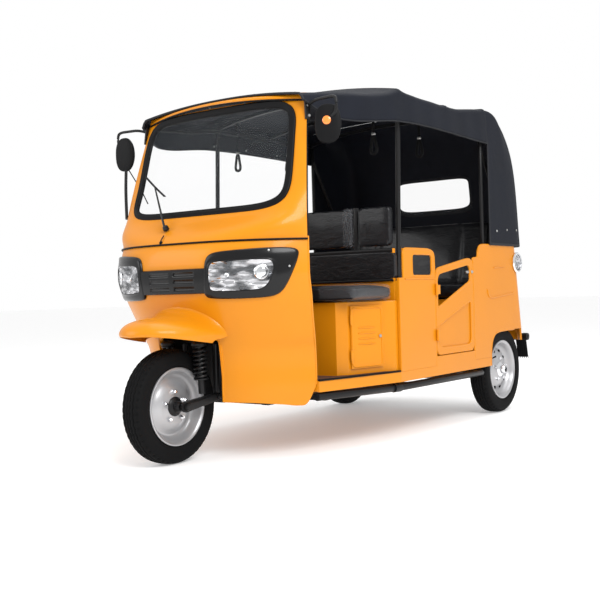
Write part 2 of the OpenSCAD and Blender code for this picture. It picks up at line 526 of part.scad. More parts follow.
// ---- wheels
module tyre() rotate_extrude($fn = 96) translate([(tyre_r + rim_r) / 2, 0]) rounded(tyre_r - rim_r, tyre_w, 26);
module rim(bore) rotate_extrude($fn = 96) {
    translate([rim_r - 10, -46]) square([10, 92]);
    polygon([[rim_r - 10, -6], [128, 4], [80, 22], [bore, 22], [bore, -34], [48, -34], [48, 12], [80, 12], [128, -6], [rim_r - 10, -16]]);
}
module at_wheel(x, y, turn) translate([x, y, axle_z]) rotate([0, turn, 0]) children();
module front_tyre() color(black) at_wheel(0, front_y, 90) tyre();
module front_rim() color(steel) at_wheel(0, front_y, 90) rim(10.05);
module rear_tyre_left() color(black) at_wheel(track / 2, rear_y, 90) tyre();
module rear_rim_left() color(steel) at_wheel(track / 2, rear_y, 90) rim(15.05);
module rear_tyre_right() color(black) at_wheel(-track / 2, rear_y, -90) tyre();
module rear_rim_right() color(steel) at_wheel(-track / 2, rear_y, -90) rim(15.05);

// ---- half doors
module door_outline() difference() {
    polygon([[door_y0, door_z0 + 26], [door_y0 + 26, door_z0], [door_y1 - 30, door_z0], [door_y1, door_z0 + 30],
        [door_y1, 880], [door_y1 - 12, 906], [door_y1 - 40, 918], [door_y1 - 90, 914], [door_y0 + 34, 862], [door_y0 + 8, 840], [door_y0, 812]]);
    polygon([[door_y0 + 20, 648], [door_y0 + 20, 804], [door_y0 + 44, 834], [door_y1 - 60, 884], [door_y1 - 34, 866], [door_y1 - 34, 790]]);
    polygon([[door_y0 + 24, door_z0 + 60], [door_y0 + 24, 556], [door_y1 - 34, 676], [door_y1 - 34, door_z0 + 56],
        [door_y1 - 60, door_z0 + 34], [door_y0 + 60, door_z0 + 34]]);
}
module half_door() {
    side_plate(side_x - wall_t, side_x) door_outline();
    side_plate(side_x - wall_t, side_x - wall_t + 4) polygon([[door_y0 + 20, door_z0 + 28], [door_y0 + 20, 590],
        [door_y1 - 20, 712], [door_y1 - 20, door_z0 + 28]]);
    for (z = [480, 720]) {
        translate([side_x + 9, door_y0 - 6, z]) cylinder(h = 56, r = 6.5);
        box([side_x + 3, door_y0 - 6, z + 4], [side_x + 9, door_y0 + 34, z + 52]);
        box([side_x - 1, door_y0 + 2, z + 4], [side_x + 4, door_y0 + 34, z + 52]);
    }
}
module door_left() color(body_colour) half_door();
module door_right() color(body_colour) mirror([1, 0, 0]) half_door();

chassis_frame();
floor_pan();
floor_mat();
front_cowl();
front_beak();
wheel_well();
windscreen_panel();
cowl_seam();
windscreen_seal();
windscreen_glass();
front_visor();
headlamp_surrounds();
headlamps();
grille_band();
wiper();
mirrors();
seat_box();
driver_cushion();
driver_backrest();
partition();
side_sills();
b_post_panels();
quarter_panels();
rear_panel();
roof_frame();
canopy_roof();
canopy_rear();
rear_window();
rear_seat_box();
rear_cushion();
rear_backrest();
engine_block();
rear_axle();
rear_bumper();
mud_flaps();
tail_lamps();
marker_lamps();
grab_straps();
steering_fork();
front_shocks();
handlebar();
front_tyre();
front_rim();
rear_tyre_left();
rear_rim_left();
rear_tyre_right();
rear_rim_right();
door_left();
door_right();
seat_box_door();
engine_hatch();
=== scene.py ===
import json
import math
import bmesh
import bpy
import numpy as np
from mathutils import Matrix, Vector


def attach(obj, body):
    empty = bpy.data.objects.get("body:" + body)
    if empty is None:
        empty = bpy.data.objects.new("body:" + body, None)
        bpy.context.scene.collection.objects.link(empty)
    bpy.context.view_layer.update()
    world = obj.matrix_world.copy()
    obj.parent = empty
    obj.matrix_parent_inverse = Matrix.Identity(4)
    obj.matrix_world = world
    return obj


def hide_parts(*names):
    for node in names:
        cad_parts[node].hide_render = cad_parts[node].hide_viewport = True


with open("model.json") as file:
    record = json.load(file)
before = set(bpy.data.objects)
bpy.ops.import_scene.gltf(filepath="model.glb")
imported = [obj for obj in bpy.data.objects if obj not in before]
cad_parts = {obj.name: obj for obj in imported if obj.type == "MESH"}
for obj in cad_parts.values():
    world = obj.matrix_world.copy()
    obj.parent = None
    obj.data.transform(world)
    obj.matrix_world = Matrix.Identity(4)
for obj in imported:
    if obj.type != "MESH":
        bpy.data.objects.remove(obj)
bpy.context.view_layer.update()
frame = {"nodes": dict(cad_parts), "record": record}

cadNodes = frame["nodes"]
print("frame loaded:", len(cadNodes), "nodes")


# shader expressions: a wrapped socket adds Math nodes when it meets an operator
class Sock:
    def __init__(self, shade, out):
        self.shade, self.out = shade, out

    def op(self, kind, a, b=None):
        values = {0: a} if b is None else {0: a, 1: b}
        return self.shade.add("ShaderNodeMath", {"operation": kind}, values)

    def __add__(self, other):
        return self.op("ADD", self, other)

    def __radd__(self, other):
        return self.op("ADD", other, self)

    def __sub__(self, other):
        return self.op("SUBTRACT", self, other)

    def __rsub__(self, other):
        return self.op("SUBTRACT", other, self)

    def __mul__(self, other):
        return self.op("MULTIPLY", self, other)

    def __rmul__(self, other):
        return self.op("MULTIPLY", other, self)

    def absolute(self):
        return self.op("ABSOLUTE", self)

    def least(self, other):
        return self.op("MINIMUM", self, other)

    def most(self, other):
        return self.op("MAXIMUM", self, other)

    def sine(self):
        return self.op("SINE", self)


class Shade:
    # one material: constants go on the shader's own sockets, patterns are linked with add() and put()
    def __init__(self, name, colour, rough=0.5, metal=0.0, **constants):
        self.material = bpy.data.materials.new(name)
        self.material.use_nodes = True
        self.tree = self.material.node_tree
        self.tree.nodes.clear()
        self.output = self.tree.nodes.new("ShaderNodeOutputMaterial")
        self.shader = self.tree.nodes.new("ShaderNodeBsdfPrincipled")
        self.tree.links.new(self.shader.outputs[0], self.output.inputs[0])
        self.shader.inputs["Base Color"].default_value = (*colour, 1)
        self.shader.inputs["Roughness"].default_value = rough
        self.shader.inputs["Metallic"].default_value = metal
        for key, value in constants.items():
            self.shader.inputs[key.replace("_", " ")].default_value = value
        self.material.diffuse_color = (*colour, 1)

    def add(self, kind, settings=None, values=None, out=0):
        node = self.tree.nodes.new(kind)
        for key, value in (settings or {}).items():
            setattr(node, key, value)
        for key, value in (values or {}).items():
            if isinstance(value, Sock):
                self.tree.links.new(value.out, node.inputs[key])
            else:
                node.inputs[key].default_value = value
        return Sock(self, node.outputs[out])

    def place(self):
        return self.add("ShaderNodeTexCoord", out="Object")

    def put(self, name, value):
        self.tree.links.new(value.out, self.shader.inputs[name])

    def noise(self, scale, detail=3.0, rough=0.5, where=None):
        return self.add("ShaderNodeTexNoise", None, {"Vector": where or self.place(), "Scale": scale,
                                                     "Detail": detail, "Roughness": rough})

    def bump(self, height, strength, distance):
        self.put("Normal", self.add("ShaderNodeBump", None, {"Height": height, "Strength": strength,
                                                             "Distance": distance}))

    def tint(self, factor, dark, light):
        self.put("Base Color", self.add("ShaderNodeMix", {"data_type": "RGBA"},
                                        {0: factor, 6: (*dark, 1), 7: (*light, 1)}, 2))


def paintCoat(name, colour, rough=0.3, coat=0.6, metal=0.0, grain=260.0, depth=0.00006, spec=0.4):
    # enamel: a faint mottle in its gloss and a fine orange-peel relief
    shade = Shade(name, colour, rough, metal, Coat_Weight=coat, Coat_Roughness=0.06, Specular_IOR_Level=spec)
    wide = shade.noise(3.2, 4.0)
    shade.put("Roughness", wide * 0.10 + (rough - 0.05))
    shade.tint(wide, tuple(c * 0.93 for c in colour), tuple(min(1.0, c * 1.05) for c in colour))
    shade.bump(shade.noise(grain, 2.0), 0.25, depth)
    return shade.material


def rubberLike(name, colour, rough=0.6, grain=420.0, strength=0.35, depth=0.0003, spec=0.16):
    # moulded rubber or grained plastic: a fine pebble relief and a slightly cloudy gloss
    shade = Shade(name, colour, rough, 0.0, Specular_IOR_Level=spec)
    wide = shade.noise(9.0, 4.0)
    shade.put("Roughness", wide * 0.18 + (rough - 0.09))
    shade.tint(wide, tuple(c * 0.8 for c in colour), tuple(c * 1.25 for c in colour))
    shade.bump(shade.noise(grain, 2.0), strength, depth)
    return shade.material


def wovenCloth(name, colour, rough, threads):
    # coated cloth: crossed sine threads and broad soft creases; its colour is lighter on the raised folds
    # and darker in their hollows, painted highlight and painted shade
    shade = Shade(name, colour, rough, 0.0, Specular_IOR_Level=0.13)
    spot = shade.place()
    split = shade.add("ShaderNodeSeparateXYZ", None, {0: spot})
    along = shade.add("ShaderNodeSeparateXYZ", None, {0: spot}, 1)
    up = shade.add("ShaderNodeSeparateXYZ", None, {0: spot}, 2)
    weave = (split * threads).sine() * ((along + up) * threads).sine()
    folds = shade.noise(5.0, 5.0, 0.55, spot)
    # painted shade in the fold hollows and painted highlight on the raised folds: the colour follows the
    # folds' height
    shade.tint(folds, tuple(c * 0.7 for c in colour), tuple(c * 1.45 for c in colour))
    shade.put("Roughness", folds * 0.2 + (rough - 0.1))
    shade.bump(weave * 0.12 + folds * 3.0, 0.5, 0.0012)
    return shade.material


def vinylHide(name, colour, rough, wrap):
    # seat vinyl under a clear wrap: long crinkles that catch the light, with painted highlight on their
    # raised parts and painted shade between them
    shade = Shade(name, colour, rough, 0.0, Coat_Weight=wrap, Coat_Roughness=0.12, Specular_IOR_Level=0.2)
    spot = shade.add("ShaderNodeMapping", None, {"Vector": shade.place(), "Scale": (1.0, 2.6, 2.6)})
    broad = shade.noise(7.0, 6.0, 0.62, spot)
    crease = 1.0 - (broad * 2.0 - 1.0).absolute() * 5.0
    fine = shade.noise(300.0, 2.0)
    # colour lighter on the raised crinkles and darker between them: painted highlight and painted shade
    shade.tint(broad, tuple(c * 0.7 for c in colour), tuple(c * 1.5 for c in colour))
    shade.bump(crease.most(0.0) * 0.8 + broad * 2.0 + fine * 0.05, 0.55, 0.003)
    return shade.material


def facetedChrome(name):
    # headlamp reflector: random flat facets, each with its own lean, and patches of near-black and bright
    # colour that are painted reflections
    shade = Shade(name, (0.9, 0.91, 0.93), 0.08, 1.0)
    spot = shade.add("ShaderNodeMapping", None, {"Vector": shade.place(), "Scale": (1.0, 0.4, 2.4)})
    cells = shade.add("ShaderNodeTexVoronoi", {"feature": "F1"}, {"Vector": spot, "Scale": 20.0}, "Distance")
    shade.bump(cells, 1.0, 0.012)
    # painted reflections: the metal's colour goes in patches from near black to bright
    reflectionPatches = (shade.noise(11.0, 1.0, 0.5, spot) * 6.0 - 2.5).most(0.0).least(1.0)
    shade.tint(reflectionPatches, (0.06, 0.063, 0.07), (0.62, 0.62, 0.64))
    return shade.material


def clearSheet(name, colour, alpha, rough=0.03):
    shade = Shade(name, colour, rough, 0.0, Alpha=alpha, IOR=1.45, Specular_IOR_Level=0.6)
    shade.put("Roughness", shade.noise(6.0, 2.0) * 0.03 + rough)
    return shade.material


saffron = (0.60, 0.208, 0.0032)
looks = {
    "body_paint": paintCoat("saffronPaint", saffron, 0.36, 0.14, spec=0.2),
    "black_paint": paintCoat("chassisBlack", (0.006, 0.006, 0.0065), 0.42, 0.08, grain=380.0, spec=0.2),
    "canopy_cloth": wovenCloth("canopyCloth", (0.0065, 0.0078, 0.0125), 0.62, 5200.0),
    "seat_vinyl": vinylHide("seatVinyl", (0.006, 0.0063, 0.0075), 0.38, 0.22),
    "black_rubber": rubberLike("blackRubber", (0.005, 0.005, 0.0055), 0.5, spec=0.1),
    "brown_mat": rubberLike("brownMat", (0.085, 0.042, 0.028), 0.7, 200.0, 0.6, 0.0008),
    "dark_plastic": paintCoat("glossBlack", (0.004, 0.004, 0.0045), 0.24, 0.16, grain=500.0,
                              depth=0.00003, spec=0.2),
    "clear_glass": clearSheet("clearGlass", (0.30, 0.33, 0.36), 0.03),
    "lamp_chrome": facetedChrome("lampReflector"),
    "lamp_clear": clearSheet("lampLens", (0.35, 0.36, 0.37), 0.14, 0.04),
    "lamp_red": paintCoat("redLens", (0.55, 0.012, 0.008), 0.15, 0.8),
    "cast_alloy": rubberLike("castAlloy", (0.30, 0.31, 0.32), 0.45, 300.0, 0.5, 0.0006, 0.5),
    "tyre_rubber": rubberLike("tyreRubber", (0.005, 0.005, 0.0053), 0.7, 520.0, 0.4, 0.0004, 0.07),
    "wheel_steel": paintCoat("wheelSilver", (0.40, 0.40, 0.41), 0.34, 0.25, 0.6, 320.0),
}
extra = {
    "chrome": paintCoat("brightChrome", (0.82, 0.83, 0.85), 0.1, 0.0, 1.0, 60.0),
    "bolt": paintCoat("zincBolt", (0.42, 0.42, 0.41), 0.36, 0.0, 0.9, 300.0),
    "amber": paintCoat("amberLens", (0.85, 0.22, 0.03), 0.2, 0.7),
    "mirrorFace": paintCoat("mirrorFace", (0.86, 0.88, 0.9), 0.03, 0.0, 1.0, 40.0, 0.00001),
    # darker orange paint for the visor's underside: painted shade
    "underVisor": paintCoat("visorShadeSheet", (0.16, 0.055, 0.012), 0.5, 0.2),
    "hem": rubberLike("hemPiping", (0.016, 0.017, 0.020), 0.6, 300.0),
    # near-black discs over the rim holes: painted shade seen through them
    "holeShadePaint": rubberLike("holeShadePaint", (0.008, 0.008, 0.008), 0.8),
    "wrap": clearSheet("loosePlastic", (0.30, 0.31, 0.33), 0.11, 0.12),
    "plate": paintCoat("blankPlate", (0.75, 0.75, 0.72), 0.4, 0.2),
}
print("materials:", len(looks) + len(extra))


# surfaces on grids; every length below is in millimetres until piece() scales it
def gridFaces(rows, cols, ring=False):
    # quads between neighbouring rows and columns; ring joins the last column to the first
    i, j = np.meshgrid(np.arange(rows - 1), np.arange(cols if ring else cols - 1), indexing="ij")
    k = (j + 1) % cols
    return np.stack([i * cols + j, (i + 1) * cols + j, (i + 1) * cols + k, i * cols + k], -1).reshape(-1, 4)


def surface(grid, ring=False, loop=False):
    # an open grid, or closed round its columns (ring) and its rows (loop)
    grid = np.asarray(grid, float)
    if loop:
        grid = np.concatenate([grid, grid[:1]])
    rows, cols = grid.shape[:2]
    return grid.reshape(-1, 3), gridFaces(rows, cols, ring)


def walled(outer, inner, ring=False):
    # two matching grids joined round their rims into one closed wall
    outer, inner = np.asarray(outer, float), np.asarray(inner, float)
    rows, cols = outer.shape[:2]
    count = rows * cols
    index = np.arange(count).reshape(rows, cols)
    quads = gridFaces(rows, cols, ring)
    if ring:
        rims = [np.append(index[0], index[0, 0]), np.append(index[-1], index[-1, 0])[::-1]]
    else:
        rims = [np.concatenate([index[0], index[1:, -1], index[-1, -2::-1], index[-2::-1, 0]])]
    strips = [np.stack([r[:-1], r[1:], r[1:] + count, r[:-1] + count], -1) for r in rims]
    points = np.concatenate([outer.reshape(-1, 3), inner.reshape(-1, 3)])
    return points, np.concatenate([quads, quads[:, ::-1] + count] + strips)


def unit(v):
    return v / np.maximum(np.linalg.norm(v, axis=-1, keepdims=True), 1e-9)


def swept(path, section, up=(0, 0, 1), closed=False, scale=None):
    # a section (right, above) carried along a path:
    # point = path + right * side + above * cross(side, tangent)
    path, section = np.asarray(path, float), np.asarray(section, float)
    if closed:
        tangent = unit(np.roll(path, -1, 0) - np.roll(path, 1, 0))
    else:
        tangent = unit(np.gradient(path, axis=0))
    side = unit(np.cross(tangent, np.asarray(up, float)))
    above = np.cross(side, tangent)
    size = np.ones(len(path)) if scale is None else np.asarray(scale, float)
    grid = path[:, None] + size[:, None, None] * (section[None, :, :1] * side[:, None]
                                                  + section[None, :, 1:] * above[:, None])
    if closed:
        return surface(grid, True, True)
    ends = np.concatenate([np.repeat(path[:1, None], len(section), 1), grid,
                           np.repeat(path[-1:, None], len(section), 1)])
    return surface(ends, True)


def circle(radius, count=14, squash=1.0):
    # x = r cos a, y = r sin a
    a = np.linspace(0, 2 * math.pi, count, endpoint=False)
    return np.stack([radius * np.cos(a), radius * squash * np.sin(a)], -1)


def slabSection(width, height, power=4.0, count=20):
    # a superellipse: |x/a|^n + |y/b|^n = 1
    a = np.linspace(0, 2 * math.pi, count, endpoint=False)
    c, s = np.cos(a), np.sin(a)
    return np.stack([width / 2 * np.sign(c) * np.abs(c) ** (2 / power),
                     height / 2 * np.sign(s) * np.abs(s) ** (2 / power)], -1)


def softened(points, times=3, closed=False):
    # corner cutting: each pass keeps the quarter points of every span
    p = np.asarray(points, float)
    for _ in range(times):
        q = np.roll(p, -1, 0)
        pairs = np.stack([p * 0.75 + q * 0.25, p * 0.25 + q * 0.75], 1)
        if closed:
            p = pairs.reshape(-1, p.shape[1])
        else:
            p = np.concatenate([p[:1], pairs[:-1].reshape(-1, p.shape[1]), p[-1:]])
    return p


def filleted(points, radius, closed=False, steps=6):
    # each corner p becomes the curve (1-t)^2 a + 2 t (1-t) p + t^2 b, where a and b lie on its two edges
    p = np.asarray(points, float)
    out = []
    for i in range(len(p)):
        if not closed and i in (0, len(p) - 1):
            out.append(p[i])
            continue
        before, after = p[i - 1] - p[i], p[(i + 1) % len(p)] - p[i]
        reach = [min(radius, 0.48 * np.linalg.norm(d)) / max(np.linalg.norm(d), 1e-9)
                 for d in (before, after)]
        a, b = p[i] + before * reach[0], p[i] + after * reach[1]
        for t in np.linspace(0, 1, steps):
            out.append((1 - t) ** 2 * a + 2 * t * (1 - t) * p[i] + t ** 2 * b)
    return np.array(out)


def tube(points, radius, rounds=3, up=(0, 0, 1), count=14, closed=False):
    return swept(softened(points, rounds, closed), circle(radius, count), up, closed)


def turned(profile, origin, axis, segments=32):
    # a profile of (radius, along) turned round an axis
    profile, axis = np.asarray(profile, float), unit(np.asarray(axis, float))
    first = unit(np.cross(axis, (0, 0, 1) if abs(axis[2]) < 0.9 else (1, 0, 0)))
    second = np.cross(axis, first)
    a = np.linspace(0, 2 * math.pi, segments, endpoint=False)
    rim = np.cos(a)[:, None] * first + np.sin(a)[:, None] * second
    grid = np.asarray(origin, float) + profile[:, None, :1] * rim[None] + profile[:, None, 1:] * axis
    return surface(grid, True)


def dome(origin, axis, radius, height, segments=16):
    return turned([(0, -1), (radius, -1), (radius, height * 0.45), (radius * 0.8, height * 0.85),
                   (0, height)], origin, axis, segments)


def pillow(centre, size, power=(4.0, 4.0), rows=36, cols=60, lean=0.0, sag=None):
    # superquadric: each level is a superellipse, and the levels shrink as another superellipse;
    # lean turns it about X, and sag(x, y, z) may move its points
    v = np.linspace(-math.pi / 2, math.pi / 2, rows)[:, None]
    u = np.linspace(0, 2 * math.pi, cols, endpoint=False)[None]
    curve = lambda w, n: np.sign(w) * np.abs(w) ** (2 / n)
    ring = curve(np.cos(v), power[0])
    x = ring * curve(np.cos(u), power[1])
    y = ring * curve(np.sin(u), power[1])
    z = curve(np.sin(v), power[0]) + 0 * u
    if sag:
        x, y, z = sag(x, y, z)
    x, y, z = x * size[0] / 2, y * size[1] / 2, z * size[2] / 2
    c, s = math.cos(math.radians(lean)), math.sin(math.radians(lean))
    grid = np.stack([x, y * c - z * s, y * s + z * c], -1) + np.asarray(centre, float)
    return surface(grid, True)


def mirrored(part):
    points, faces = part
    return points * (-1, 1, 1), faces[:, ::-1]


def bothSides(parts):
    return parts + [mirrored(p) for p in parts]


def softenEdges(made, width, angle):
    edge = made.modifiers.new("edge", "BEVEL")
    edge.width = width / 1000
    edge.segments = 2
    edge.limit_method = "ANGLE"
    edge.angle_limit = math.radians(angle)


def piece(name, parts, look, body="body", stands=(), crease=38, bevel=0.0, thick=0.0,
          rounding=0, openSheet=False):
    # joins parts, closes their seams and poles, turns their faces outwards and shades them
    points = np.concatenate([p[0] for p in parts]) / 1000
    offsets = np.cumsum([0] + [len(p[0]) for p in parts[:-1]])
    faces = np.concatenate([p[1] + o for p, o in zip(parts, offsets)])
    mesh = bpy.data.meshes.new(name)
    mesh.from_pydata(points.tolist(), [], faces.tolist())
    work = bmesh.new()
    work.from_mesh(mesh)
    bmesh.ops.remove_doubles(work, verts=work.verts, dist=0.000004)
    bmesh.ops.dissolve_degenerate(work, edges=work.edges, dist=0.000002)
    if not openSheet:
        bmesh.ops.recalc_face_normals(work, faces=work.faces)
    work.to_mesh(mesh)
    work.free()
    mesh.shade_smooth()
    mesh.set_sharp_from_angle(angle=math.radians(crease))
    made = bpy.data.objects.new(name, mesh)
    bpy.context.scene.collection.objects.link(made)
    mesh.materials.append(looks.get(look) or extra[look])
    if thick:
        wall = made.modifiers.new("wall", "SOLIDIFY")
        wall.thickness, wall.offset = thick / 1000, -1
    if bevel:
        softenEdges(made, bevel, 40)
    if rounding:
        smooth = made.modifiers.new("round", "SUBSURF")
        smooth.levels = smooth.render_levels = rounding
    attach(made, body)
    if stands:
        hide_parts(*stands)
    return made


# front shell: y = nose(z) + (edge(z) - nose(z)) * |x / width(z)| ^ power(z)
shell = {
    "width": [(250, 490), (300, 495), (500, 502), (550, 521), (660, 548), (740, 568), (850, 582),
              (988, 575), (1130, 565), (1640, 496)],
    "nose": [(280, 132), (540, 121), (660, 76), (740, 50), (850, 36), (988, 66), (1130, 236),
             (1640, 368)],
    "edge": [(300, 440), (500, 430), (550, 400), (660, 351), (740, 318), (850, 285), (988, 295),
             (1130, 310), (1640, 430)],
    "power": [(640, 3), (988, 3), (1130, 10), (1640, 2.2)],
    "foot": [(188, 266), (318, 262), (413, 249), (455, 240), (480, 252), (496, 317)],
    "frontY": -1200.0, "wall": 12.0, "seamZ": 988.0, "mouthX": 186.0,
}


def softTable(z, table):
    # cubic through the table's points, with each slope the mean of its neighbours'
    k, v = np.array(table, float).T
    z = np.clip(z, k[0], k[-1])
    d = np.diff(v) / np.diff(k)
    m = np.concatenate([[d[0]], (d[:-1] + d[1:]) / 2, [d[-1]]])
    m[1:-1] = np.where(d[:-1] * d[1:] <= 0, 0, m[1:-1])
    i = np.clip(np.searchsorted(k, z, "right") - 1, 0, len(k) - 2)
    h = k[i + 1] - k[i]
    t = (z - k[i]) / h
    return ((2 * t ** 3 - 3 * t ** 2 + 1) * v[i] + (t ** 3 - 2 * t ** 2 + t) * h * m[i]
            + (3 * t ** 2 - 2 * t ** 3) * v[i + 1] + (t ** 3 - t ** 2) * h * m[i + 1])


def shellWidth(z):
    return softTable(z, shell["width"])


def noseY(z):
    return shell["frontY"] + softTable(z, shell["nose"])


def edgeY(z):
    return shell["frontY"] + softTable(z, shell["edge"])


def shellPoint(u, z, depth=0.0):
    # u runs from -1 at the right edge to 1 at the left
    n, e = noseY(z) + depth, edgeY(z)
    return np.stack([u * (shellWidth(z) - depth), n + (e - n) * np.abs(u) ** softTable(z, shell["power"]),
                     z + 0 * u], -1)


def shellY(x, z):
    return shellPoint(np.clip(x / shellWidth(z), -1, 1), z)[..., 1]


def onShell(x, z, out=0.0):
    # the shell's point at (x, z), moved out along its normal (dY/dx, -1, dY/dz)
    x, z = np.asarray(x, float), np.asarray(z, float)
    slopeX = (shellY(x + 1, z) - shellY(x - 1, z)) / 2
    slopeZ = (shellY(x, z + 1) - shellY(x, z - 1)) / 2
    normal = unit(np.stack([slopeX, -1 + 0 * slopeX, slopeZ], -1))
    return np.stack([x, shellY(x, z), z], -1) + normal * np.asarray(out, float)[..., None]


def shellNormal(x, z):
    return unit(onShell(x, z, 1.0) - onShell(x, z, 0.0))


def cowl():
    mouth, wall = shell["mouthX"], shell["wall"]
    middle = np.linspace(0, mouth, 25)
    half = np.concatenate([middle, [mouth + 2.5], np.zeros(44)])
    turns = np.sin(np.linspace(0, math.pi / 2, 45)[1:])
    isFar = np.arange(len(half)) > 25
    foot = np.where(np.arange(len(half)) <= 24,
                    528 + 52 * np.cos(math.pi / 2 * np.clip(half / mouth, 0, 1)) ** 0.42, 0.0)
    foot[25] = 266
    foot[26:] = softTable(mouth + 2.5 + (495 - mouth) * turns, shell["foot"])
    v = np.linspace(0, 1, 22)[:, None]
    low = foot[None] + (640 - foot[None]) * v
    high = 640 + (shell["seamZ"] - 640) * np.linspace(0, 1, 40)[1:, None] + 0 * foot[None]
    z = np.concatenate([low, high])
    w = shellWidth(z)
    x = np.where(isFar[None],
                 mouth + 2.5 + (w - mouth - 2.5) * np.concatenate([np.zeros(26), turns])[None],
                 half[None])
    u = np.clip(x / w, 0, 1)
    u = np.concatenate([-u[:, :0:-1], u], 1)
    z = np.concatenate([z[:, :0:-1], z], 1)
    piece("cowlShell", [walled(shellPoint(u, z), shellPoint(u, z, wall))], "body_paint",
          stands=["front_cowl"], crease=50, bevel=2.0)
    # return lip round the wheel opening and a folded flange down the rear edge
    lipX = np.concatenate([[mouth + 4] * 12, mouth * np.cos(np.linspace(0, math.pi, 40)), [-mouth - 4] * 12])
    lipZ = np.concatenate([np.linspace(268, 520, 12),
                           528 + 50 * np.sin(np.linspace(0, math.pi, 40)) ** 0.42,
                           np.linspace(520, 268, 12)])
    piece("mouthLip", [swept(onShell(lipX, lipZ, -2.0), slabSection(9, 12), (0, -1, 0))], "body_paint")
    z = np.linspace(330, 1000, 60)
    flange = np.stack([shellWidth(z) - 3, edgeY(z) + 4, z], -1)
    piece("cowlFlange", bothSides([swept(flange, slabSection(10, 14), (1, 0, 0))]), "body_paint")
    z = np.linspace(305, 1600, 110)
    trim = np.stack([shellWidth(z) - 8, edgeY(z) + 13, z], -1)
    piece("doorwayTrim", bothSides([swept(trim, slabSection(11, 9, 2.6), (1, 0, 0))]), "black_rubber")


lip = {"rootHalf": 235.0, "rootZ": 566.0, "rise": 140.0, "edgeHalf": 208.0, "edgeY": -1072.0,
       "reach": 364.0, "edgeZ": 541.0, "edgeRise": 43.0, "swell": 10.0, "thick": 9.0}


def beak():
    # a lip that grows out of the cowl, from root(t) to edge(t): x by f^1.3, y by 3 f^2 - 2 f^3, and z by
    # f + sin(2 pi f) / 9, which leaves the cowl steeply, runs flat and turns down again at the tip
    t = np.radians(np.linspace(-84, 84, 70))[None]
    f = np.linspace(0, 1, 26)[:, None]
    s, c = np.sin(t), np.cos(t)
    rootX, rootZ = lip["rootHalf"] * s, lip["rootZ"] + lip["rise"] * c
    root = np.stack([rootX, shellY(rootX, rootZ) + 3, rootZ], -1)
    edge = np.stack([lip["edgeHalf"] * s, lip["edgeY"] - lip["reach"] * np.maximum(c, 0) ** 0.75,
                     lip["edgeZ"] + lip["edgeRise"] * c + 8 * np.sin(2 * np.abs(t))], -1)
    swell = np.sin(math.pi * f) * c
    warp = np.stack([f ** 1.3, 3 * f ** 2 - 2 * f ** 3, f + np.sin(2 * math.pi * f) / 9], -1)
    top = root + (edge - root) * warp + np.stack([0 * swell, 0 * swell, lip["swell"] * swell], -1)
    under = top + np.stack([-0.3 * s + 0 * f, 6.0 + 0 * swell, 0 * swell - lip["thick"]], -1)
    piece("beakLip", [walled(top, under)], "body_paint", stands=["front_beak"], crease=60, bevel=2.0)


screen = {"z0": 1132.0, "z1": 1628.0, "half0": 480.0, "half1": 448.0, "panelTop": 1648.0, "power": 7.0}


def screenOutline(turn, grow=0.0):
    # a superellipse that narrows upwards
    mid, half = (screen["z0"] + screen["z1"]) / 2, (screen["z1"] - screen["z0"]) / 2
    c, s = np.cos(turn), np.sin(turn)
    z = mid + (half + grow) * np.sign(s) * np.abs(s) ** (2 / screen["power"])
    w = screen["half0"] + (screen["half1"] - screen["half0"]) * (z - screen["z0"]) / (2 * half)
    return (w + grow) * np.sign(c) * np.abs(c) ** (2 / screen["power"]), z


def windscreen():
    turn = np.linspace(0, 2 * math.pi, 240, endpoint=False)
    x, z = screenOutline(turn)
    c, s = np.cos(turn), np.sin(turn)
    m = np.maximum(np.abs(c), np.abs(s))
    mid = (screen["z0"] + screen["z1"]) / 2
    rimZ = np.where(s > 0, mid + (screen["panelTop"] - mid) * np.abs(s) / m,
                    mid + (shell["seamZ"] - mid) * np.abs(s) / m)
    start, end = np.arcsin(np.clip(x / shellWidth(z), -1, 1)), math.pi / 2 * c / m
    f = np.linspace(0, 1, 22)[:, None] ** 1.1
    levels = z[None] + (rimZ - z)[None] * f
    u = np.sin(start[None] + (end - start)[None] * f)
    piece("screenPanel", [walled(shellPoint(u, levels), shellPoint(u, levels, shell["wall"]), True)],
          "body_paint", stands=["windscreen_panel"], crease=50, bevel=1.5)
    x, z = screenOutline(turn, -3)
    seal = np.array([(-18, -5), (-18, 4), (-12, 9), (-2, 10), (4, 7), (10, 9), (16, 6), (18, 0), (17, -5),
                     (0, -9)], float)
    piece("screenSeal", [swept(onShell(x, z, 1.0), seal, (0, -1, 0), True)], "black_rubber",
          stands=["windscreen_seal"], crease=60)
    n = np.linspace(-0.985, 0.985, 40)[:, None]
    z = mid + n * (screen["z1"] - screen["z0"] - 8) / 2
    rise = (z - screen["z0"]) / (screen["z1"] - screen["z0"])
    w = screen["half0"] + (screen["half1"] - screen["half0"]) * rise - 4
    w = w * (1 - np.abs(n) ** screen["power"]) ** (1 / screen["power"])
    x = w * np.linspace(-1, 1, 50)[None]
    z = z + 0 * x
    pane = np.stack([x, shellY(x, z) + 1, z], -1)
    piece("screenGlass", [walled(pane, pane + (0, 4, 0))], "clear_glass", stands=["windscreen_glass"])
    # rubber strip over the seam between cowl and panel
    u = np.sin(np.linspace(-math.pi / 2, math.pi / 2, 120))
    strip = shellPoint(u, np.full_like(u, shell["seamZ"])) + np.stack([2 * u, -1.5 + 0 * u, 0 * u], -1)
    piece("seamStrip", [swept(strip, slabSection(15, 9, 2.5), (0, 0, 1))], "black_rubber",
          stands=["cowl_seam"])


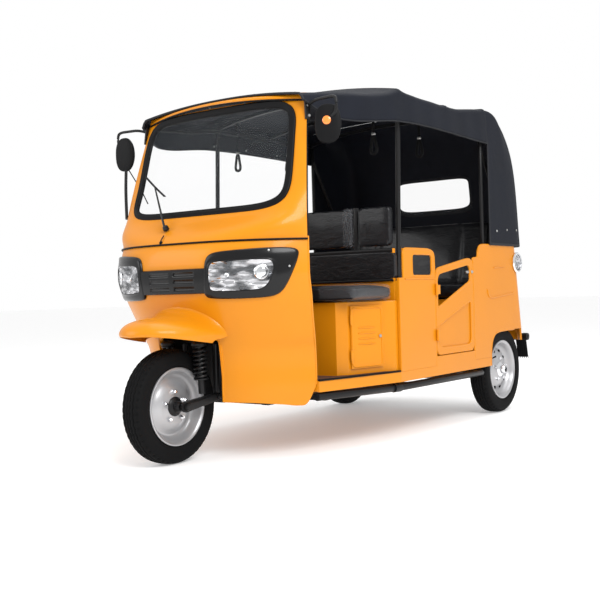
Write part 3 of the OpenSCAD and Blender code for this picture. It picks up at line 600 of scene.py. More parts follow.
def visor():
    # crescent: y = shell + f * (1 - u^2), with a turned-down lip
    u = np.linspace(-1, 1, 70)[None]
    f = np.array([-27, -28, -24, -8, 10, 28, 36])[:, None]
    up = np.array([1655, 1662, 1668, 1673, 1679, 1685, 1688])[:, None]
    x = 492 * u + 0 * f
    grid = np.stack([x, shellY(490 * u + 0 * f, 1640 + 0 * x) + f * (0.12 + 0.88 * (1 - u ** 2)),
                     up - 26 * u ** 2], -1)
    piece("visorTop", [walled(grid, grid + (0, 3, -6))], "body_paint", stands=["front_visor"], crease=50)
    edge = grid[0] + (0, -2, -3)
    piece("visorEdge", [swept(edge, slabSection(8, 9, 2.5), (0, 0, 1))], "black_rubber")
    # a darker orange sheet under the visor: painted shade on its underside
    shadeSheet = np.stack([grid[1] + (0, 6, -8), grid[5] + (0, 0, -12)])
    piece("visorShadeSheet", [walled(shadeSheet, shadeSheet + (0, 0, -2))], "underVisor")
    spots = [(-224, 1651), (-34, 1654), (179, 1650), (311, 1643)]
    piece("visorRivets", [dome(onShell(a, b, 0.5), shellNormal(a, b), 6, 4, 12) for a, b in spots], "bolt")


lamp = {
    "frame": [(181, 770), (189, 841), (195, 905), (212, 930), (250, 940), (324, 945), (458, 952),
              (530, 951), (552, 940), (554, 915), (545, 870), (529, 822), (502, 775), (476, 748),
              (438, 736), (316, 733), (205, 736), (184, 748)],
    "lens": [(213, 800), (216, 868), (226, 890), (250, 897), (307, 899), (453, 902), (474, 893),
             (479, 862), (465, 815), (440, 782), (405, 771), (240, 770), (218, 776)],
    "centre": (345.0, 840.0),
}


def outlineAt(points, angles):
    # distance from the lamp's centre to a softened outline, at given angles
    p = softened(points, 3, True) - np.array(lamp["centre"])
    a, r = np.arctan2(p[:, 1], p[:, 0]), np.hypot(p[:, 0], p[:, 1])
    order = np.argsort(a)
    return np.interp(angles, a[order], r[order], period=2 * math.pi)


def headlamps():
    a = np.linspace(-math.pi, math.pi, 140, endpoint=False)
    outer, inner = outlineAt(lamp["frame"], a), outlineAt(lamp["lens"], a)
    levels = [(outer, -3), (outer, 5), (outer - 4, 11), (outer - 12, 13), (inner + 16, 13),
              (inner + 8, 12), (inner + 3, 14), (inner - 1, 13), (inner - 3, 3), (inner - 3, -2)]
    place = lambda r, h: onShell(lamp["centre"][0] + r * np.cos(a), lamp["centre"][1] + r * np.sin(a), h)
    frameGrid = np.stack([place(r, np.full_like(a, h)) for r, h in levels])
    piece("lampFrame", bothSides([surface(frameGrid, True, True)]), "dark_plastic",
          stands=["headlamp_surrounds"], crease=70)
    rings = np.linspace(0, 1, 20)
    bowl = np.stack([place((inner - 2) * s, 2.5 + 8 * s ** 3 + 2.0 * np.abs(np.sin(a * 9)) * s)
                     for s in rings])
    piece("lampBowl", bothSides([surface(bowl, True)]), "lamp_chrome", stands=["headlamps"], crease=25)
    bulb = turned([(0, 8), (9, 12), (12, 8), (13, 5), (0, 4)], onShell(300, 838, 0),
                  shellNormal(300, 838), 28)
    reflector = turned([(0, 9), (14, 9.5), (22, 6), (30, 9), (34, 5), (34, 3), (0, 3)],
                       onShell(436, 848, 0), shellNormal(436, 848), 36)
    piece("lampRings", bothSides([bulb, reflector]), "chrome")
    cover = np.stack([place((inner - 2) * s, 12.2 - 1.4 * s ** 2 + 0 * a) for s in rings])
    piece("lampCover", bothSides([surface(cover, True)]), "lamp_clear", openSheet=True)
    spots = [(458, 938), (526, 868)]
    piece("lampScrews",
          bothSides([dome(onShell(x, z, 12), shellNormal(x, z), 5, 3, 12) for x, z in spots]), "bolt")


band = {"half": 200.0, "low": 759.0, "high": 871.0, "height": 11.0, "slotDepth": 6.0}


def grille():
    # louvred band: height dips in three slots on each side of the middle
    x = np.linspace(-band["half"], band["half"], 161)[None] + np.zeros((61, 1))
    z = np.linspace(band["low"], band["high"], 61)[:, None] + 0 * x
    inPanel = ((np.abs(x) > 14) & (np.abs(x) < 138)).astype(float)
    slots = np.clip(1.6 * np.sin((z - 766) / 97 * 3 * math.pi) ** 2 - 0.5, 0, 1) * ((z > 768) & (z < 862))
    height = band["height"] - band["slotDepth"] * inPanel * slots * np.clip((138 - np.abs(x)) / 6, 0, 1)
    height *= np.clip(np.minimum(z - band["low"] + 2, band["high"] + 2 - z) / 5, 0.2, 1)
    piece("grilleBand", [walled(onShell(x, z, height), onShell(x, z, -2 + 0 * x))], "dark_plastic",
          stands=["grille_band"], crease=30)
    spots = [(-156, 848), (150, 849), (152, 775), (-150, 773)]
    piece("grilleScrews", [dome(onShell(a, b, 8), shellNormal(a, b), 4.5, 3, 12) for a, b in spots], "bolt")


for make in (cowl, beak, windscreen, visor, headlamps, grille):
    make()
print("front shell made")


# wheels
wheel = {"radius": 257.5, "rim": 167.0, "width": 110.0, "treadDepth": 7.0, "axleZ": 257.5,
         "rearY": 1050.0, "track": 1090.0, "nutCircle": 66.0, "holeCircle": 112.0, "blocks": 50}


def tyreSurface(centre):
    # superellipse section turned round X; grooves are cut where the section reaches the crown
    a = np.linspace(0, 2 * math.pi, 300, endpoint=False)[:, None]
    b = np.linspace(0, 2 * math.pi, 132, endpoint=False)[None]
    b = b + 0.22 * np.sin(2 * b)
    c, s = np.cos(b), np.sin(b)
    x = wheel["width"] / 2 * np.sign(c) * np.abs(c) ** 0.62 + 0 * a
    middle, half = (wheel["radius"] + wheel["rim"]) / 2, (wheel["radius"] - wheel["rim"]) / 2
    r = middle + half * np.sign(s) * np.abs(s) ** 0.62 + 0 * a
    crown = np.clip((r - 243) / 9, 0, 1)
    depth = 0
    for at in (-25, -8.5, 8.5, 25):
        depth = depth + np.exp(-((x - at - 1.5 * np.sin(a * wheel["blocks"])) / 2.8) ** 2)
    lugs = np.clip((np.abs(x) - 36) / 4, 0, 1) * (np.sin(a * wheel["blocks"]) > 0.35)
    r = r - crown * wheel["treadDepth"] * np.clip(depth + lugs, 0, 1)
    wall = np.abs(x) > 46
    r = r + 0.9 * wall * np.cos((r - 200) / 3.2) * (np.abs(r - 205) < 16)
    return surface(np.stack([centre[0] + x, centre[1] + r * np.cos(a), centre[2] + r * np.sin(a)], -1),
                   True, True)


def rimSurface(centre, out, bore):
    # pressed disc: bead lip, drop, raised ring and hub seat, then back along the inner face
    face = [(bore, 30), (52, 30), (60, 27), (78, 27), (90, 24), (108, 12), (124, 2), (134, 1), (146, 10),
            (153, 26), (157, 42), (163, 50), (170, 53), (175, 51), (175, 46), (168, 44), (164, 34),
            (161, 20), (161, -20), (164, -34), (168, -44), (175, -46), (175, -51), (170, -53), (160, -50),
            (154, -36), (150, -20), (146, -10), (134, -10), (124, -9), (108, 0), (90, 12), (78, 16),
            (bore, 16), (bore, 30)]
    return turned(face, centre, (out, 0, 0), 72)


def wheelSet(tag, x, y, out, body):
    centre = (x, y, wheel["axleZ"])
    isFront = tag == "Front"
    tyre = "front_tyre" if isFront else "rear_tyre_" + tag.lower()
    rim = "front_rim" if isFront else "rear_rim_" + tag.lower()
    bore = 13.0 if isFront else 17.0
    piece("tyre" + tag, [tyreSurface(centre)], "tyre_rubber", body, [tyre], crease=50)
    parts = [rimSurface(centre, out, bore)]
    if isFront:
        backFace = [(bore, 20), (60, 20), (78, 24), (92, 20), (118, 4), (132, 2), (132, 6), (118, 8),
                    (92, 25), (78, 30), (60, 30), (bore, 30), (bore, 20)]
        parts.append(turned(backFace, centre, (-out, 0, 0), 72))
    piece("rim" + tag, parts, "wheel_steel", body, [rim], crease=45)
    circleAt = lambda reach, off, angles: [(x + out * off, y + reach * math.cos(a),
                                            wheel["axleZ"] + reach * math.sin(a))
                                           for a in np.radians(angles)]
    spots = circleAt(wheel["nutCircle"], 28, np.arange(5) * 72 + 20)
    nuts = [turned([(0, 0), (10, 0), (10, 9), (8, 12), (5, 12), (5, 18), (0, 18)], p, (out, 0, 0), 6)
            for p in spots]
    piece("wheelNuts" + tag, nuts, "chrome", body)
    hub = [(bore, 20), (44, 20), (44, 34), (38, 40), (26, 44), (24, 62), (18, 70), (bore, 70), (bore, 20)]
    piece("hub" + tag, [turned(hub, centre, (out, 0, 0), 40)], "black_paint" if isFront else "chrome",
          body, crease=40)
    if isFront:
        return
    # dark discs on the rear rims' holes: painted shade where the holes look through
    holeShadeDisc = [(0, 2.4), (8, 2.4), (10, 1), (10, -3), (0, -3)]
    holes = circleAt(wheel["holeCircle"], 12, np.arange(10) * 36)
    piece("rimHoleShades" + tag, [turned(holeShadeDisc, p, (out, 0, 0), 14) for p in holes], "holeShadePaint", body)
    stem = [(x + out * 30, y - 96, 330), (x + out * 52, y - 108, 339)]
    piece("valve" + tag, [tube(stem, 4, 1), dome(stem[1], (out, -0.5, 0.3), 5.5, 8, 10)], "black_rubber",
          body)


wheelSet("Front", 0, shell["frontY"], 1, "front_wheel")
wheelSet("Left", wheel["track"] / 2, wheel["rearY"], 1, "rear_left_wheel")
wheelSet("Right", -wheel["track"] / 2, wheel["rearY"], -1, "rear_right_wheel")
print("wheels made")


# steering: springs over the dampers, link plates, bars and grips
def coil(foot, head, radius, wire, turnsCount):
    # helix: foot + (head - foot) * t, turned round that line
    t = np.linspace(0, 1, turnsCount * 20)[:, None]
    foot, head = np.asarray(foot, float), np.asarray(head, float)
    axis = unit(head - foot)
    first = unit(np.cross(axis, (1, 0, 0)))
    second = np.cross(axis, first)
    a = 2 * math.pi * turnsCount * t
    line = foot + (head - foot) * t + radius * (np.cos(a) * first + np.sin(a) * second)
    return swept(line, circle(wire, 8), axis)


steer = {"lean": 24.0, "shockX": 95.0, "coilRadius": 27.0, "wire": 5.0, "coils": 8, "barRadius": 11.0,
         "gripRadius": 16.0}


def steeringParts():
    springs, dampers, links = [], [], []
    for side in (-1, 1):
        foot = np.array((side * steer["shockX"], -1088, 306))
        head = np.array((side * steer["shockX"], -1102, 538))
        reach = head - foot
        springs.append(coil(foot + reach * 0.30, head - (0, 0, 8), steer["coilRadius"], steer["wire"],
                            steer["coils"]))
        dampers += [turned([(0, 0), (16, 0), (16, 92), (10, 92), (10, 232), (0, 232)], foot, reach, 20),
                    turned([(9, 0), (33, 0), (34, 6), (9, 6), (9, 0)], foot + reach * 0.28, reach, 24),
                    turned([(0, 0), (34, 0), (34, 10), (20, 24), (0, 24)], head - (0, 0, 14), (0, 0, 1), 24)]
        links.append(swept([(side * 104, -988, 284), (side * 106, -1090, 268), (side * 106, -1196, 258)],
                           slabSection(8, 34, 5), (0, 0, 1)))
        links.append(dome((side * 106, -1200, 257.5), (side, 0, 0), 17, 14, 6))
        links.append(dome((side * 108, -986, 285), (side, 0, 0), 14, 12, 6))
    piece("shockSprings", springs, "black_paint", "steering", ["front_shocks"])
    piece("shockDampers", dampers, "black_paint", "steering")
    piece("linkPlates", links, "black_paint", "steering")
    lean = math.radians(steer["lean"])
    top = np.array((0, -1240 + 560 * math.tan(lean), 560.0))
    along = np.array((0, math.sin(lean), math.cos(lean)))
    back = np.array((0, math.cos(lean), -math.sin(lean)))
    bar = [top + along * (486 + h) + back * b + (x, 0, 0) for x, b, h in
           [(-300, 80, 4), (-190, 62, 6), (-90, 12, 0), (90, 12, 0), (190, 62, 6), (300, 80, 4)]]
    piece("steerBar", [tube(bar, steer["barRadius"], 3)], "black_paint", "steering", ["handlebar"])
    gripEnds = ((bar[0] + (-6, 0, 0), bar[0] + (100, -16, 2)),
                (bar[-1] + (-100, -16, 2), bar[-1] + (6, 0, 0)))
    ribs = 1 + 0.08 * np.sin(np.linspace(0, 60, 40))
    grips = [swept(np.linspace(p, q, 40), circle(steer["gripRadius"], 16), (0, 0, 1), scale=ribs)
             for p, q in gripEnds]
    piece("gripSleeves", grips, "black_rubber", "steering")
    leverAt = lambda p, s: [p + (s * 92, -20, 4), p + (s * 60, -58, 10), p + (s * -14, -40, 12)]
    levers = [tube(leverAt(bar[0], 1), 5, 2), tube(leverAt(bar[-1], -1), 5, 2)]
    piece("handLevers", levers, "bolt", "steering")
    head = top + along * 500 + back * 8
    piece("steerHead",
          [pillow(head, (150, 96, 72), (4, 4), 20, 36, -24),
           turned([(0, 0), (34, 0), (34, 40), (0, 40)], head - along * 52, along, 28)], "dark_plastic",
          "steering")
    piece("speedDial",
          [turned([(0, 0), (34, 0), (36, 4), (30, 6), (0, 6)], head + along * 34, along, 32)], "chrome",
          "steering")


steeringParts()
print("steering made")


# mirrors, wiper and washer pipe
mirror = {"place": (641.0, -817.0, 1495.0), "yaw": (26, -4), "size": (117, 25, 174), "rimHalf": (54, 82),
          "glass": 52, "armRadius": 7.0}


def mirrors():
    made = {"shell": [], "rim": [], "face": [], "arm": [], "plate": [], "screw": []}
    at = np.array(mirror["place"])
    wide, tall = mirror["rimHalf"]
    for side, yaw in zip((1, -1), mirror["yaw"]):
        c, s = math.cos(math.radians(yaw)), math.sin(math.radians(yaw))
        spin = np.array([(c, s, 0), (-s, c, 0), (0, 0, 1)])
        turnIt = lambda part: (part[0] @ spin + at, part[1])
        keep = (lambda part: part) if side > 0 else mirrored
        made["shell"].append(keep(turnIt(pillow((0, -3, 0), mirror["size"], (2.5, 3.2), 26, 60))))
        a = np.linspace(0, 2 * math.pi, 60, endpoint=False)
        oval = np.stack([wide * np.cos(a), 9 + 0 * a, tall * np.sin(a)], -1)
        made["rim"].append(keep(turnIt(swept(oval, slabSection(8, 8, 3), (0, 1, 0), True))))
        disc = turned([(0, 0), (mirror["glass"] - 2, 0), (mirror["glass"], -3), (0, -3)], (0, 0, 0),
                      (0, 1, 0), 48)
        made["face"].append(keep(turnIt((disc[0] * (1, 1, 1.54) + (0, 11, 0), disc[1]))))
        arm = filleted([(508, -778, 1598), (560, -798, 1614), (672, -814, 1614), (690, -818, 1600),
                        (686, -818, 1540), (660, -817, 1524)], 26)
        made["arm"].append(keep(swept(arm, circle(mirror["armRadius"], 14), (0, 0, 1))))
        made["plate"].append(keep(swept([(503, -780, 1616), (511, -786, 1534)], slabSection(38, 9, 5),
                                        (1, 0, 0))))
        made["screw"] += [keep(dome((508 + k, -782, z), (1, -0.2, 0), 7.5, 6, 12))
                          for k, z in ((1, 1600), (6, 1552))]
    stay = filleted([(-634, -820, 1412), (-612, -848, 1300), (-572, -884, 1152)], 80)
    made["arm"].append(swept(stay, circle(8, 12), (0, 0, 1)))
    made["arm"].append(swept([(-622, -812, 1414), (-545, -800, 1300), (-506, -796, 1230)], circle(3, 8),
                             (0, 0, 1)))
    piece("mirrorShells", made["shell"], "black_rubber", stands=["mirrors"])
    piece("mirrorRims", made["rim"], "hem")
    piece("mirrorFaces", made["face"], "mirrorFace")
    piece("mirrorArms", made["arm"], "black_paint")
    piece("mirrorBrackets", made["plate"], "black_paint")
    piece("mirrorScrews", made["screw"], "bolt")
    piece("sideReflector",
          [turned([(0, 5), (14, 4), (19, 1), (19, -3), (0, -3)], (645, -833, 1508), (0.4, -1, 0), 28)],
          "amber")


def wiper():
    foot = onShell(-130, 1058, 8)
    mid = onShell(-342, 1291, 24)
    ends = onShell(-420, 1347, 15), onShell(-264, 1235, 15)
    blade = np.linspace(ends[0], ends[1], 24) + np.sin(np.linspace(0, math.pi, 24))[:, None] * (0, -4, 0)
    piece("wiperArm",
          [swept(np.linspace(foot + (0, -12, 4), mid, 16), slabSection(11, 6, 3), (0, -1, 0),
                 scale=np.linspace(1.2, 0.8, 16)),
           swept(blade + (0, -6, 0), slabSection(7, 7, 3), (0, -1, 0)),
           dome(foot, shellNormal(-130, 1058), 15, 22, 20)], "dark_plastic", stands=["wiper"])
    piece("wiperBlade", [swept(blade, slabSection(4, 12, 3), (0, -1, 0))], "black_rubber")
    piece("washerPipe",
          [tube([onShell(-112, 1030, 5), onShell(-104, 1012, 7), onShell(-99, 996, 6)], 2.6, 2),
           dome(onShell(-99, 998, 1), shellNormal(-99, 998), 8, 6)], "black_rubber")


mirrors()
wiper()
print("mirrors and wiper made")


# canopy: one sheet over the bows and one round the rear
canopy = {
    "crown": [(-812, 1686), (-600, 1716), (-400, 1744), (-160, 1802), (-60, 1800), (300, 1794),
              (700, 1803), (860, 1811)],
    "shoulder": [(-812, 1652), (-600, 1672), (-400, 1692), (-240, 1722), (-150, 1748), (-60, 1740),
                 (200, 1736), (500, 1742), (700, 1770), (860, 1787)],
    "hem": [(-812, 1618), (-700, 1560), (-600, 1545), (-160, 1588), (860, 1590)],
    "half": [(-812, 505), (-600, 590), (-400, 621), (860, 625)],
    "rearY": 846.0, "hoodFoot": 1000.0, "boxy": 0.62, "windowHalf": 279.0, "windowLow": 1258.0,
    "windowHigh": 1484.0,
}


def canopyRow(y):
    # crown to shoulder: z = crown - (crown - shoulder) |u|^2.2, then down the side to the hem
    y = np.asarray(y, float)[:, None]
    w, m, s, h = (softTable(y, canopy[k]) for k in ("half", "crown", "shoulder", "hem"))
    u = np.linspace(0, 1, 30)[None]
    topX, topZ = (w - 20) * u, m - (m - s) * u ** 2.2
    t = np.linspace(0, 1, 12)[None]
    sideX, sideZ = w - 7 + 10 * t, s - 13 + (h - s + 13) * t
    x, z = np.concatenate([topX, sideX], 1), np.concatenate([topZ, sideZ], 1)
    ripple = 2.2 * np.sin(y * 0.031 + x * 0.004) * np.clip((x - 250) / 300, 0, 1)
    for bow in (-150, 350, 846):
        z = z + 5 * np.exp(-((y - bow) / 26) ** 2) * (x < w - 5)
    half = np.stack([x + ripple * 0.5, y + 0 * x, z], -1)
    return np.concatenate([(half * (-1, 1, 1))[:, :0:-1], half], 1)


def sheetArea(points, faces):
    # half the cross product of each quad's diagonals, in square metres
    p = points[faces] / 1000
    return float(np.linalg.norm(np.cross(p[:, 2] - p[:, 0], p[:, 3] - p[:, 1]), axis=1).sum() / 2)


def resampled(points, count):
    # equal steps along a polyline
    s = np.concatenate([[0], np.cumsum(np.linalg.norm(np.diff(points, axis=0), axis=1))])
    t = np.linspace(0, s[-1], count)
    return np.stack([np.interp(t, s, points[:, k]) for k in range(points.shape[1])], -1)


hoodPlan = softened([(627, 850), (626, 1000), (626, 1200), (618, 1290), (575, 1335), (450, 1358),
                     (300, 1376), (150, 1392), (0, 1400)], 2)
hoodArch = canopyRow([canopy["rearY"]])[0][::-1][:41]
hoodBase, hoodHead = resampled(hoodPlan, 90), resampled(hoodArch, 90)


def hoodPoint(u, v):
    # from the plan curve up to the rear bow: across = 1 - cos(v)^n, up = sin(v)^n;
    # u = -1 right front, 0 rear middle, 1 left front
    t = (1 - np.abs(u)) * 89
    pick = lambda table, k: np.interp(t, np.arange(90), table[:, k])
    a, n = v * math.pi / 2, canopy["boxy"]
    across, up = 1 - np.cos(a) ** n, np.sin(np.maximum(a, 1e-6)) ** n
    bx, by = (pick(hoodBase, k) for k in range(2))
    hx, hy, hz = (pick(hoodHead, k) for k in range(3))
    x, y = bx + (hx - bx) * across, by + (hy - by) * across
    swell = 5 * np.sin(math.pi * np.clip(v * 2.2, 0, 1)) * np.clip((by - 1000) / 300, 0, 1)
    crease = 1.8 * np.sin(u * 46 + v * 5) * np.sin(math.pi * v)
    z = canopy["hoodFoot"] + 2 + (hz - canopy["hoodFoot"] - 2) * up
    rise = np.clip((z - 1000) / 740, 0, 1)
    y = y + np.clip((by - 1120) / 220, 0, 1) * (16 * (1 - rise) - 34 * np.sin(math.pi * rise))
    return np.stack([np.sign(u + 1e-9) * x, y + swell + crease * (by > 1150), z], -1)


def paneGrid(u0, u1, v0, v1):
    return np.meshgrid(np.linspace(u0, u1, 40), np.linspace(v0, v1, 20))


def canopyCloth():
    y = np.concatenate([np.linspace(-812, -170, 60), np.linspace(-165, 846, 90)])
    grid = canopyRow(y)
    part = surface(grid)
    cloth = piece("roofCloth", [part], "canopy_cloth", stands=["canopy_roof"], openSheet=True, thick=3.0,
                  crease=180)
    sheetArea(*part)
    low = grid[:, -1] + (1, 0, 0)
    front = grid[0] + (0, -1, 0)
    piece("roofHem",
          bothSides([swept(low, slabSection(7, 13, 2.5), (1, 0, 0))])
          + [swept(front, circle(6, 12), (0, 1, 0))], "hem")
    rows = [canopyRow([at])[0] + (0, 0, 2.0) for at in (-150, 350, 838)]
    piece("roofSeams", [swept(r, slabSection(30, 2.4, 4), (0, 0, 1)) for r in rows], "canopy_cloth")
    edge = low + (-4, 0, 22)
    sideStuds = [dome(edge[i], (1, 0, 0), 6, 4, 12) for i in (64, 90, 116, 142)]
    frontStuds = [dome(grid[1][k] + (0, -4, 2), (0, -1, 0.2), 5, 4, 12) for k in (14, 28, 54, 68)]
    piece("canopyStuds", sideStuds + frontStuds + [mirrored(p) for p in sideStuds], "bolt")
    # rear hood, left open where its window is
    uc, vc = np.meshgrid(np.linspace(-1, 1, 181), np.linspace(0, 1, 64))
    grid = hoodPoint(uc, vc)
    points, faces = surface(grid)
    mid = points[faces].mean(1)
    hole = (mid[:, 0] / (canopy["windowHalf"] - 1)) ** 6 + ((mid[:, 2] - 1371) / 111) ** 6 < 1
    keep = ~(hole & (mid[:, 1] > 1150))
    part = (points, faces[keep])
    hood = piece("hoodCloth", [part], "canopy_cloth", stands=["canopy_rear"], openSheet=True, thick=3.0,
                 rounding=1, crease=180)
    sheetArea(*part)
    piece("hoodHem",
          [swept(grid[0] + (0, 0, 4), slabSection(6, 16, 3), (0, 0, 1)),
           swept(grid[:, -1], slabSection(12, 6, 3), (1, 0, 0)),
           swept(grid[:, 0], slabSection(12, 6, 3), (1, 0, 0))], "hem")
    seams = [grid[:50, k] + unit(grid[:50, k] * (1, 1, 0) - (0, 900, 0)) * 2.0 for k in (38, 142)]
    piece("hoodSeams", [swept(line, slabSection(3.0, 16, 4), (0, 1, 0.3)) for line in seams], "canopy_cloth")
    spots = [grid[1, k] + (0, 0, 16) for k in range(4, 178, 12)]
    outward = [unit(s * (1, 1, 0) - (0, 1000, 0)) for s in spots]
    piece("hoodStuds", [dome(s + o * 2, o, 6.5, 4, 12) for s, o in zip(spots, outward)], "bolt")
    # window: find its corners in (u, v), then carry the frame along them
    z = grid[:, 90, 2]
    v0, v1 = np.interp([canopy["windowLow"], canopy["windowHigh"]], z, vc[:, 90])
    row = grid[int(v0 * 63) + 4]
    u1 = float(np.interp(canopy["windowHalf"], row[90:150, 0], uc[0, 90:150]))
    a = np.linspace(0, 2 * math.pi, 96, endpoint=False)
    c, s = np.cos(a), np.sin(a)
    acrossRim = u1 * np.sign(c) * np.abs(c) ** 0.333
    upRim = (v0 + v1) / 2 + (v1 - v0) / 2 * np.sign(s) * np.abs(s) ** 0.333
    line = hoodPoint(acrossRim, upRim)
    piece("rearWindowFrame", [swept(line + (0, 1, 0), slabSection(34, 8, 4), (0, 1, 0), True)], "hem")
    pane = hoodPoint(*paneGrid(-u1, u1, v0, v1))
    piece("rearWindowPane", [walled(pane + (0, -1, 0), pane + (0, -3, 0))], "clear_glass",
          stands=["rear_window"])


canopyCloth()
print("canopy made")


# seats
def crinkle(amount, seed):
    # a few crossed waves give the vinyl its slack
    rng = np.random.default_rng(seed)
    waves = rng.uniform(2, 11, (7, 3)), rng.uniform(0, 6, 7)

    def move(x, y, z):
        bend = sum(np.sin(w[0] * 3 * x + w[1] * y + w[2] * z + p) for w, p in zip(*waves)) / 7
        return x, y + bend * amount * 0.6, z + bend * amount
    return move


seat = {
    "cushion": ((0, -397, 742), (1192, 352, 82)),
    "sleeve": ((486, -397, 743), (224, 358, 90)),
    "lower": ((0, -196, 874), (1206, 34, 138)),
    "pads": [((0, -196, 1073), (716, 46, 194)), ((489, -196, 1073), (190, 46, 194)),
             ((-489, -196, 1073), (190, 46, 194))],
    "rearCushion": ((0, 846, 736), (1176, 464, 90)),
    "squab": ((0, 1150, 960), (1156, 96, 396)),
    "squabLean": -10, "loopX": 452, "loops": ((-128, 1497), (350, 1530)),
}


def seats():
    bench = piece("driverCushionPad",
                  [pillow(*seat["cushion"], (4.6, 16.0), 34, 200, 0, crinkle(0.045, 4))], "seat_vinyl",
                  stands=["driver_cushion"], rounding=1, crease=180)
    piece("driverCushionWelt", [swept([(-586, -574, 716), (586, -574, 716)], circle(3.5, 10), (0, 0, 1))],
          "black_rubber")
    piece("wrapSleeve", [pillow(*seat["sleeve"], (4.6, 9.0), 40, 120, 0, crinkle(0.07, 9))], "wrap",
          crease=180)
    back = piece("driverBackPads",
                 [pillow(c, s, (9.0, 5.0), 40, 140, 0, crinkle(0.05, 3 + i))
                  for i, (c, s) in enumerate(seat["pads"])], "seat_vinyl", stands=["driver_backrest"],
                 crease=180)
    piece("backPadPosts",
          bothSides([swept([(376, -196, 960), (376, -196, 1174)], slabSection(22, 22, 5), (0, 1, 0))]),
          "black_paint")
    piece("wrapStrip",
          bothSides([pillow((330, -196, 1073), (56, 52, 200), (8.0, 4.0), 30, 40, 0, crinkle(0.05, 6))]),
          "wrap", crease=180)
    lower = piece("driverLowerPanel", [pillow(*seat["lower"], (14, 16), 30, 160, 0, crinkle(0.04, 12))],
                  "seat_vinyl", crease=180)
    piece("partitionRail",
          [swept([(-592, -196, 950), (592, -196, 950)], slabSection(30, 24, 5), (0, 0, 1)),
           swept([(-592, -194, 802), (592, -194, 802)], slabSection(36, 14, 5), (0, 0, 1))],
          "black_paint")
    rear = piece("rearCushionPad",
                 [pillow(*seat["rearCushion"], (4.2, 14.0), 34, 180, 0, crinkle(0.045, 21))],
                 "seat_vinyl", stands=["rear_cushion"], rounding=1, crease=180)

    def channels(x, y, z):
        groove = np.exp(-((np.abs(x) % 0.34 - 0.17) / 0.02) ** 2)
        return x, y + 0.25 * groove * (y < 0), z

    squab = piece("rearBackPad",
                  [pillow(*seat["squab"], (8.0, 6.0), 60, 220, seat["squabLean"], channels)],
                  "seat_vinyl", stands=["rear_backrest"], crease=180)
    loops, beads = [], []
    outline = ((-6, 46), (6, 46), (19, -30), (10, -44), (-10, -44), (-19, -30))
    for y, z in seat["loops"]:
        for x in (-seat["loopX"], seat["loopX"]):
            ring = filleted([(x + dx, y, z + dz) for dx, dz in outline], 16, True)
            loops.append(swept(ring, slabSection(16, 8, 3), (0, 1, 0), True))
            loops.append(swept([(x, y, z + 46), (x, y, 1722)], slabSection(15, 6, 3), (0, 1, 0)))
            beads.append(pillow((x, y, z + 56), (20, 20, 16), (3, 3), 12, 20))
    piece("grabBeads", beads, "bolt")
    piece("grabLoops", loops, "black_rubber", stands=["grab_straps"])


seats()
print("seats made")


# body details
def plateFrame(points, x, radius, corner=24, closed=False):
    path = filleted([(x, y, z) for y, z in points], corner, closed)
    return swept(path, circle(radius, 12), (1, 0, 0), closed)


panel = {
    "side": 620.0, "lampPlace": (621.0, 1230.0, 901.0),
    "sillSleeve": 22.0,
    "postRim": [(-147, 812), (-147, 900), (-147, 957), (-60, 958), (120, 958), (172, 944), (176, 890),
                (176, 560), (176, 350)],
    "quarterRim": [(636, 350), (636, 600), (636, 914), (648, 920), (702, 921), (705, 946), (724, 992),
                   (784, 999), (900, 999), (1176, 999)],
    "arch": [(846, 296), (848, 380), (868, 446), (915, 484), (1000, 492), (1100, 494), (1178, 494)],
    "window": [(-62, 820), (146, 820), (146, 934), (-62, 934)],
    "door": [(188, 428), (208, 406), (600, 406), (624, 432), (624, 876), (616, 902), (590, 914),
             (540, 910), (218, 859), (194, 838), (188, 810)],
    "doorUpper": [(202, 648), (202, 806), (226, 834), (570, 886), (596, 868), (596, 790)],
    "doorLower": [(206, 462), (206, 556), (596, 690), (596, 458), (570, 436), (242, 436)],
}


def sidePressings():
    # rolled edges and embossed lines on the side panels
    side = panel["side"]
    lines = [plateFrame([(812, 742), (820, 706), (850, 690), (1000, 700), (1150, 712), (1176, 716)],
                        side + 0.5, 4.5, 40),
             plateFrame([(905, 868), (985, 872), (1050, 874)], side + 0.5, 4, 30),
             plateFrame([(-140, 806), (-60, 808), (170, 806)], side, 4, 30),
             plateFrame([(-196, 350), (-196, 560), (-196, 804)], side - 1, 4, 30)]
    piece("pressedLines", bothSides(lines), "body_paint")
    rolled = [plateFrame(panel["postRim"], side - 6, 7.5, 34),
              plateFrame(panel["quarterRim"], side - 6, 7, 26)]
    piece("panelRolls", bothSides(rolled), "body_paint")
    piece("archRolls", bothSides([plateFrame(panel["arch"], side - 5, 6.5, 40)]), "body_paint")
    piece("smallWindowRim", bothSides([plateFrame(panel["window"], side - 4, 6, 24, True)]), "body_paint")


def sillTrim():
    # rubber and mat along the floor edge, and a sleeve on the sill tube
    piece("floorEdge",
          bothSides([swept([(512, -756, 349), (566, -480, 349), (616, -204, 349)], slabSection(14, 10, 3),
                           (0, 0, 1))]), "black_rubber")
    ends = np.array([-756, -650, -552, -400, -260, -214.0])
    out = np.interp(ends, [-758, -200], [512, 620])
    matTop = np.stack([np.stack([out - 74, ends, 0 * ends + 352], -1),
                       np.stack([out - 13, ends, 0 * ends + 352], -1)])
    piece("doorwayMat", bothSides([walled(matTop, matTop + (0, 0, -5))]), "brown_mat")
    piece("tubeSleeve",
          bothSides([swept([(589, -230, 266), (592, -204, 266), (592, -172, 265)],
                           circle(panel["sillSleeve"], 24), (0, 0, 1))]), "black_paint")


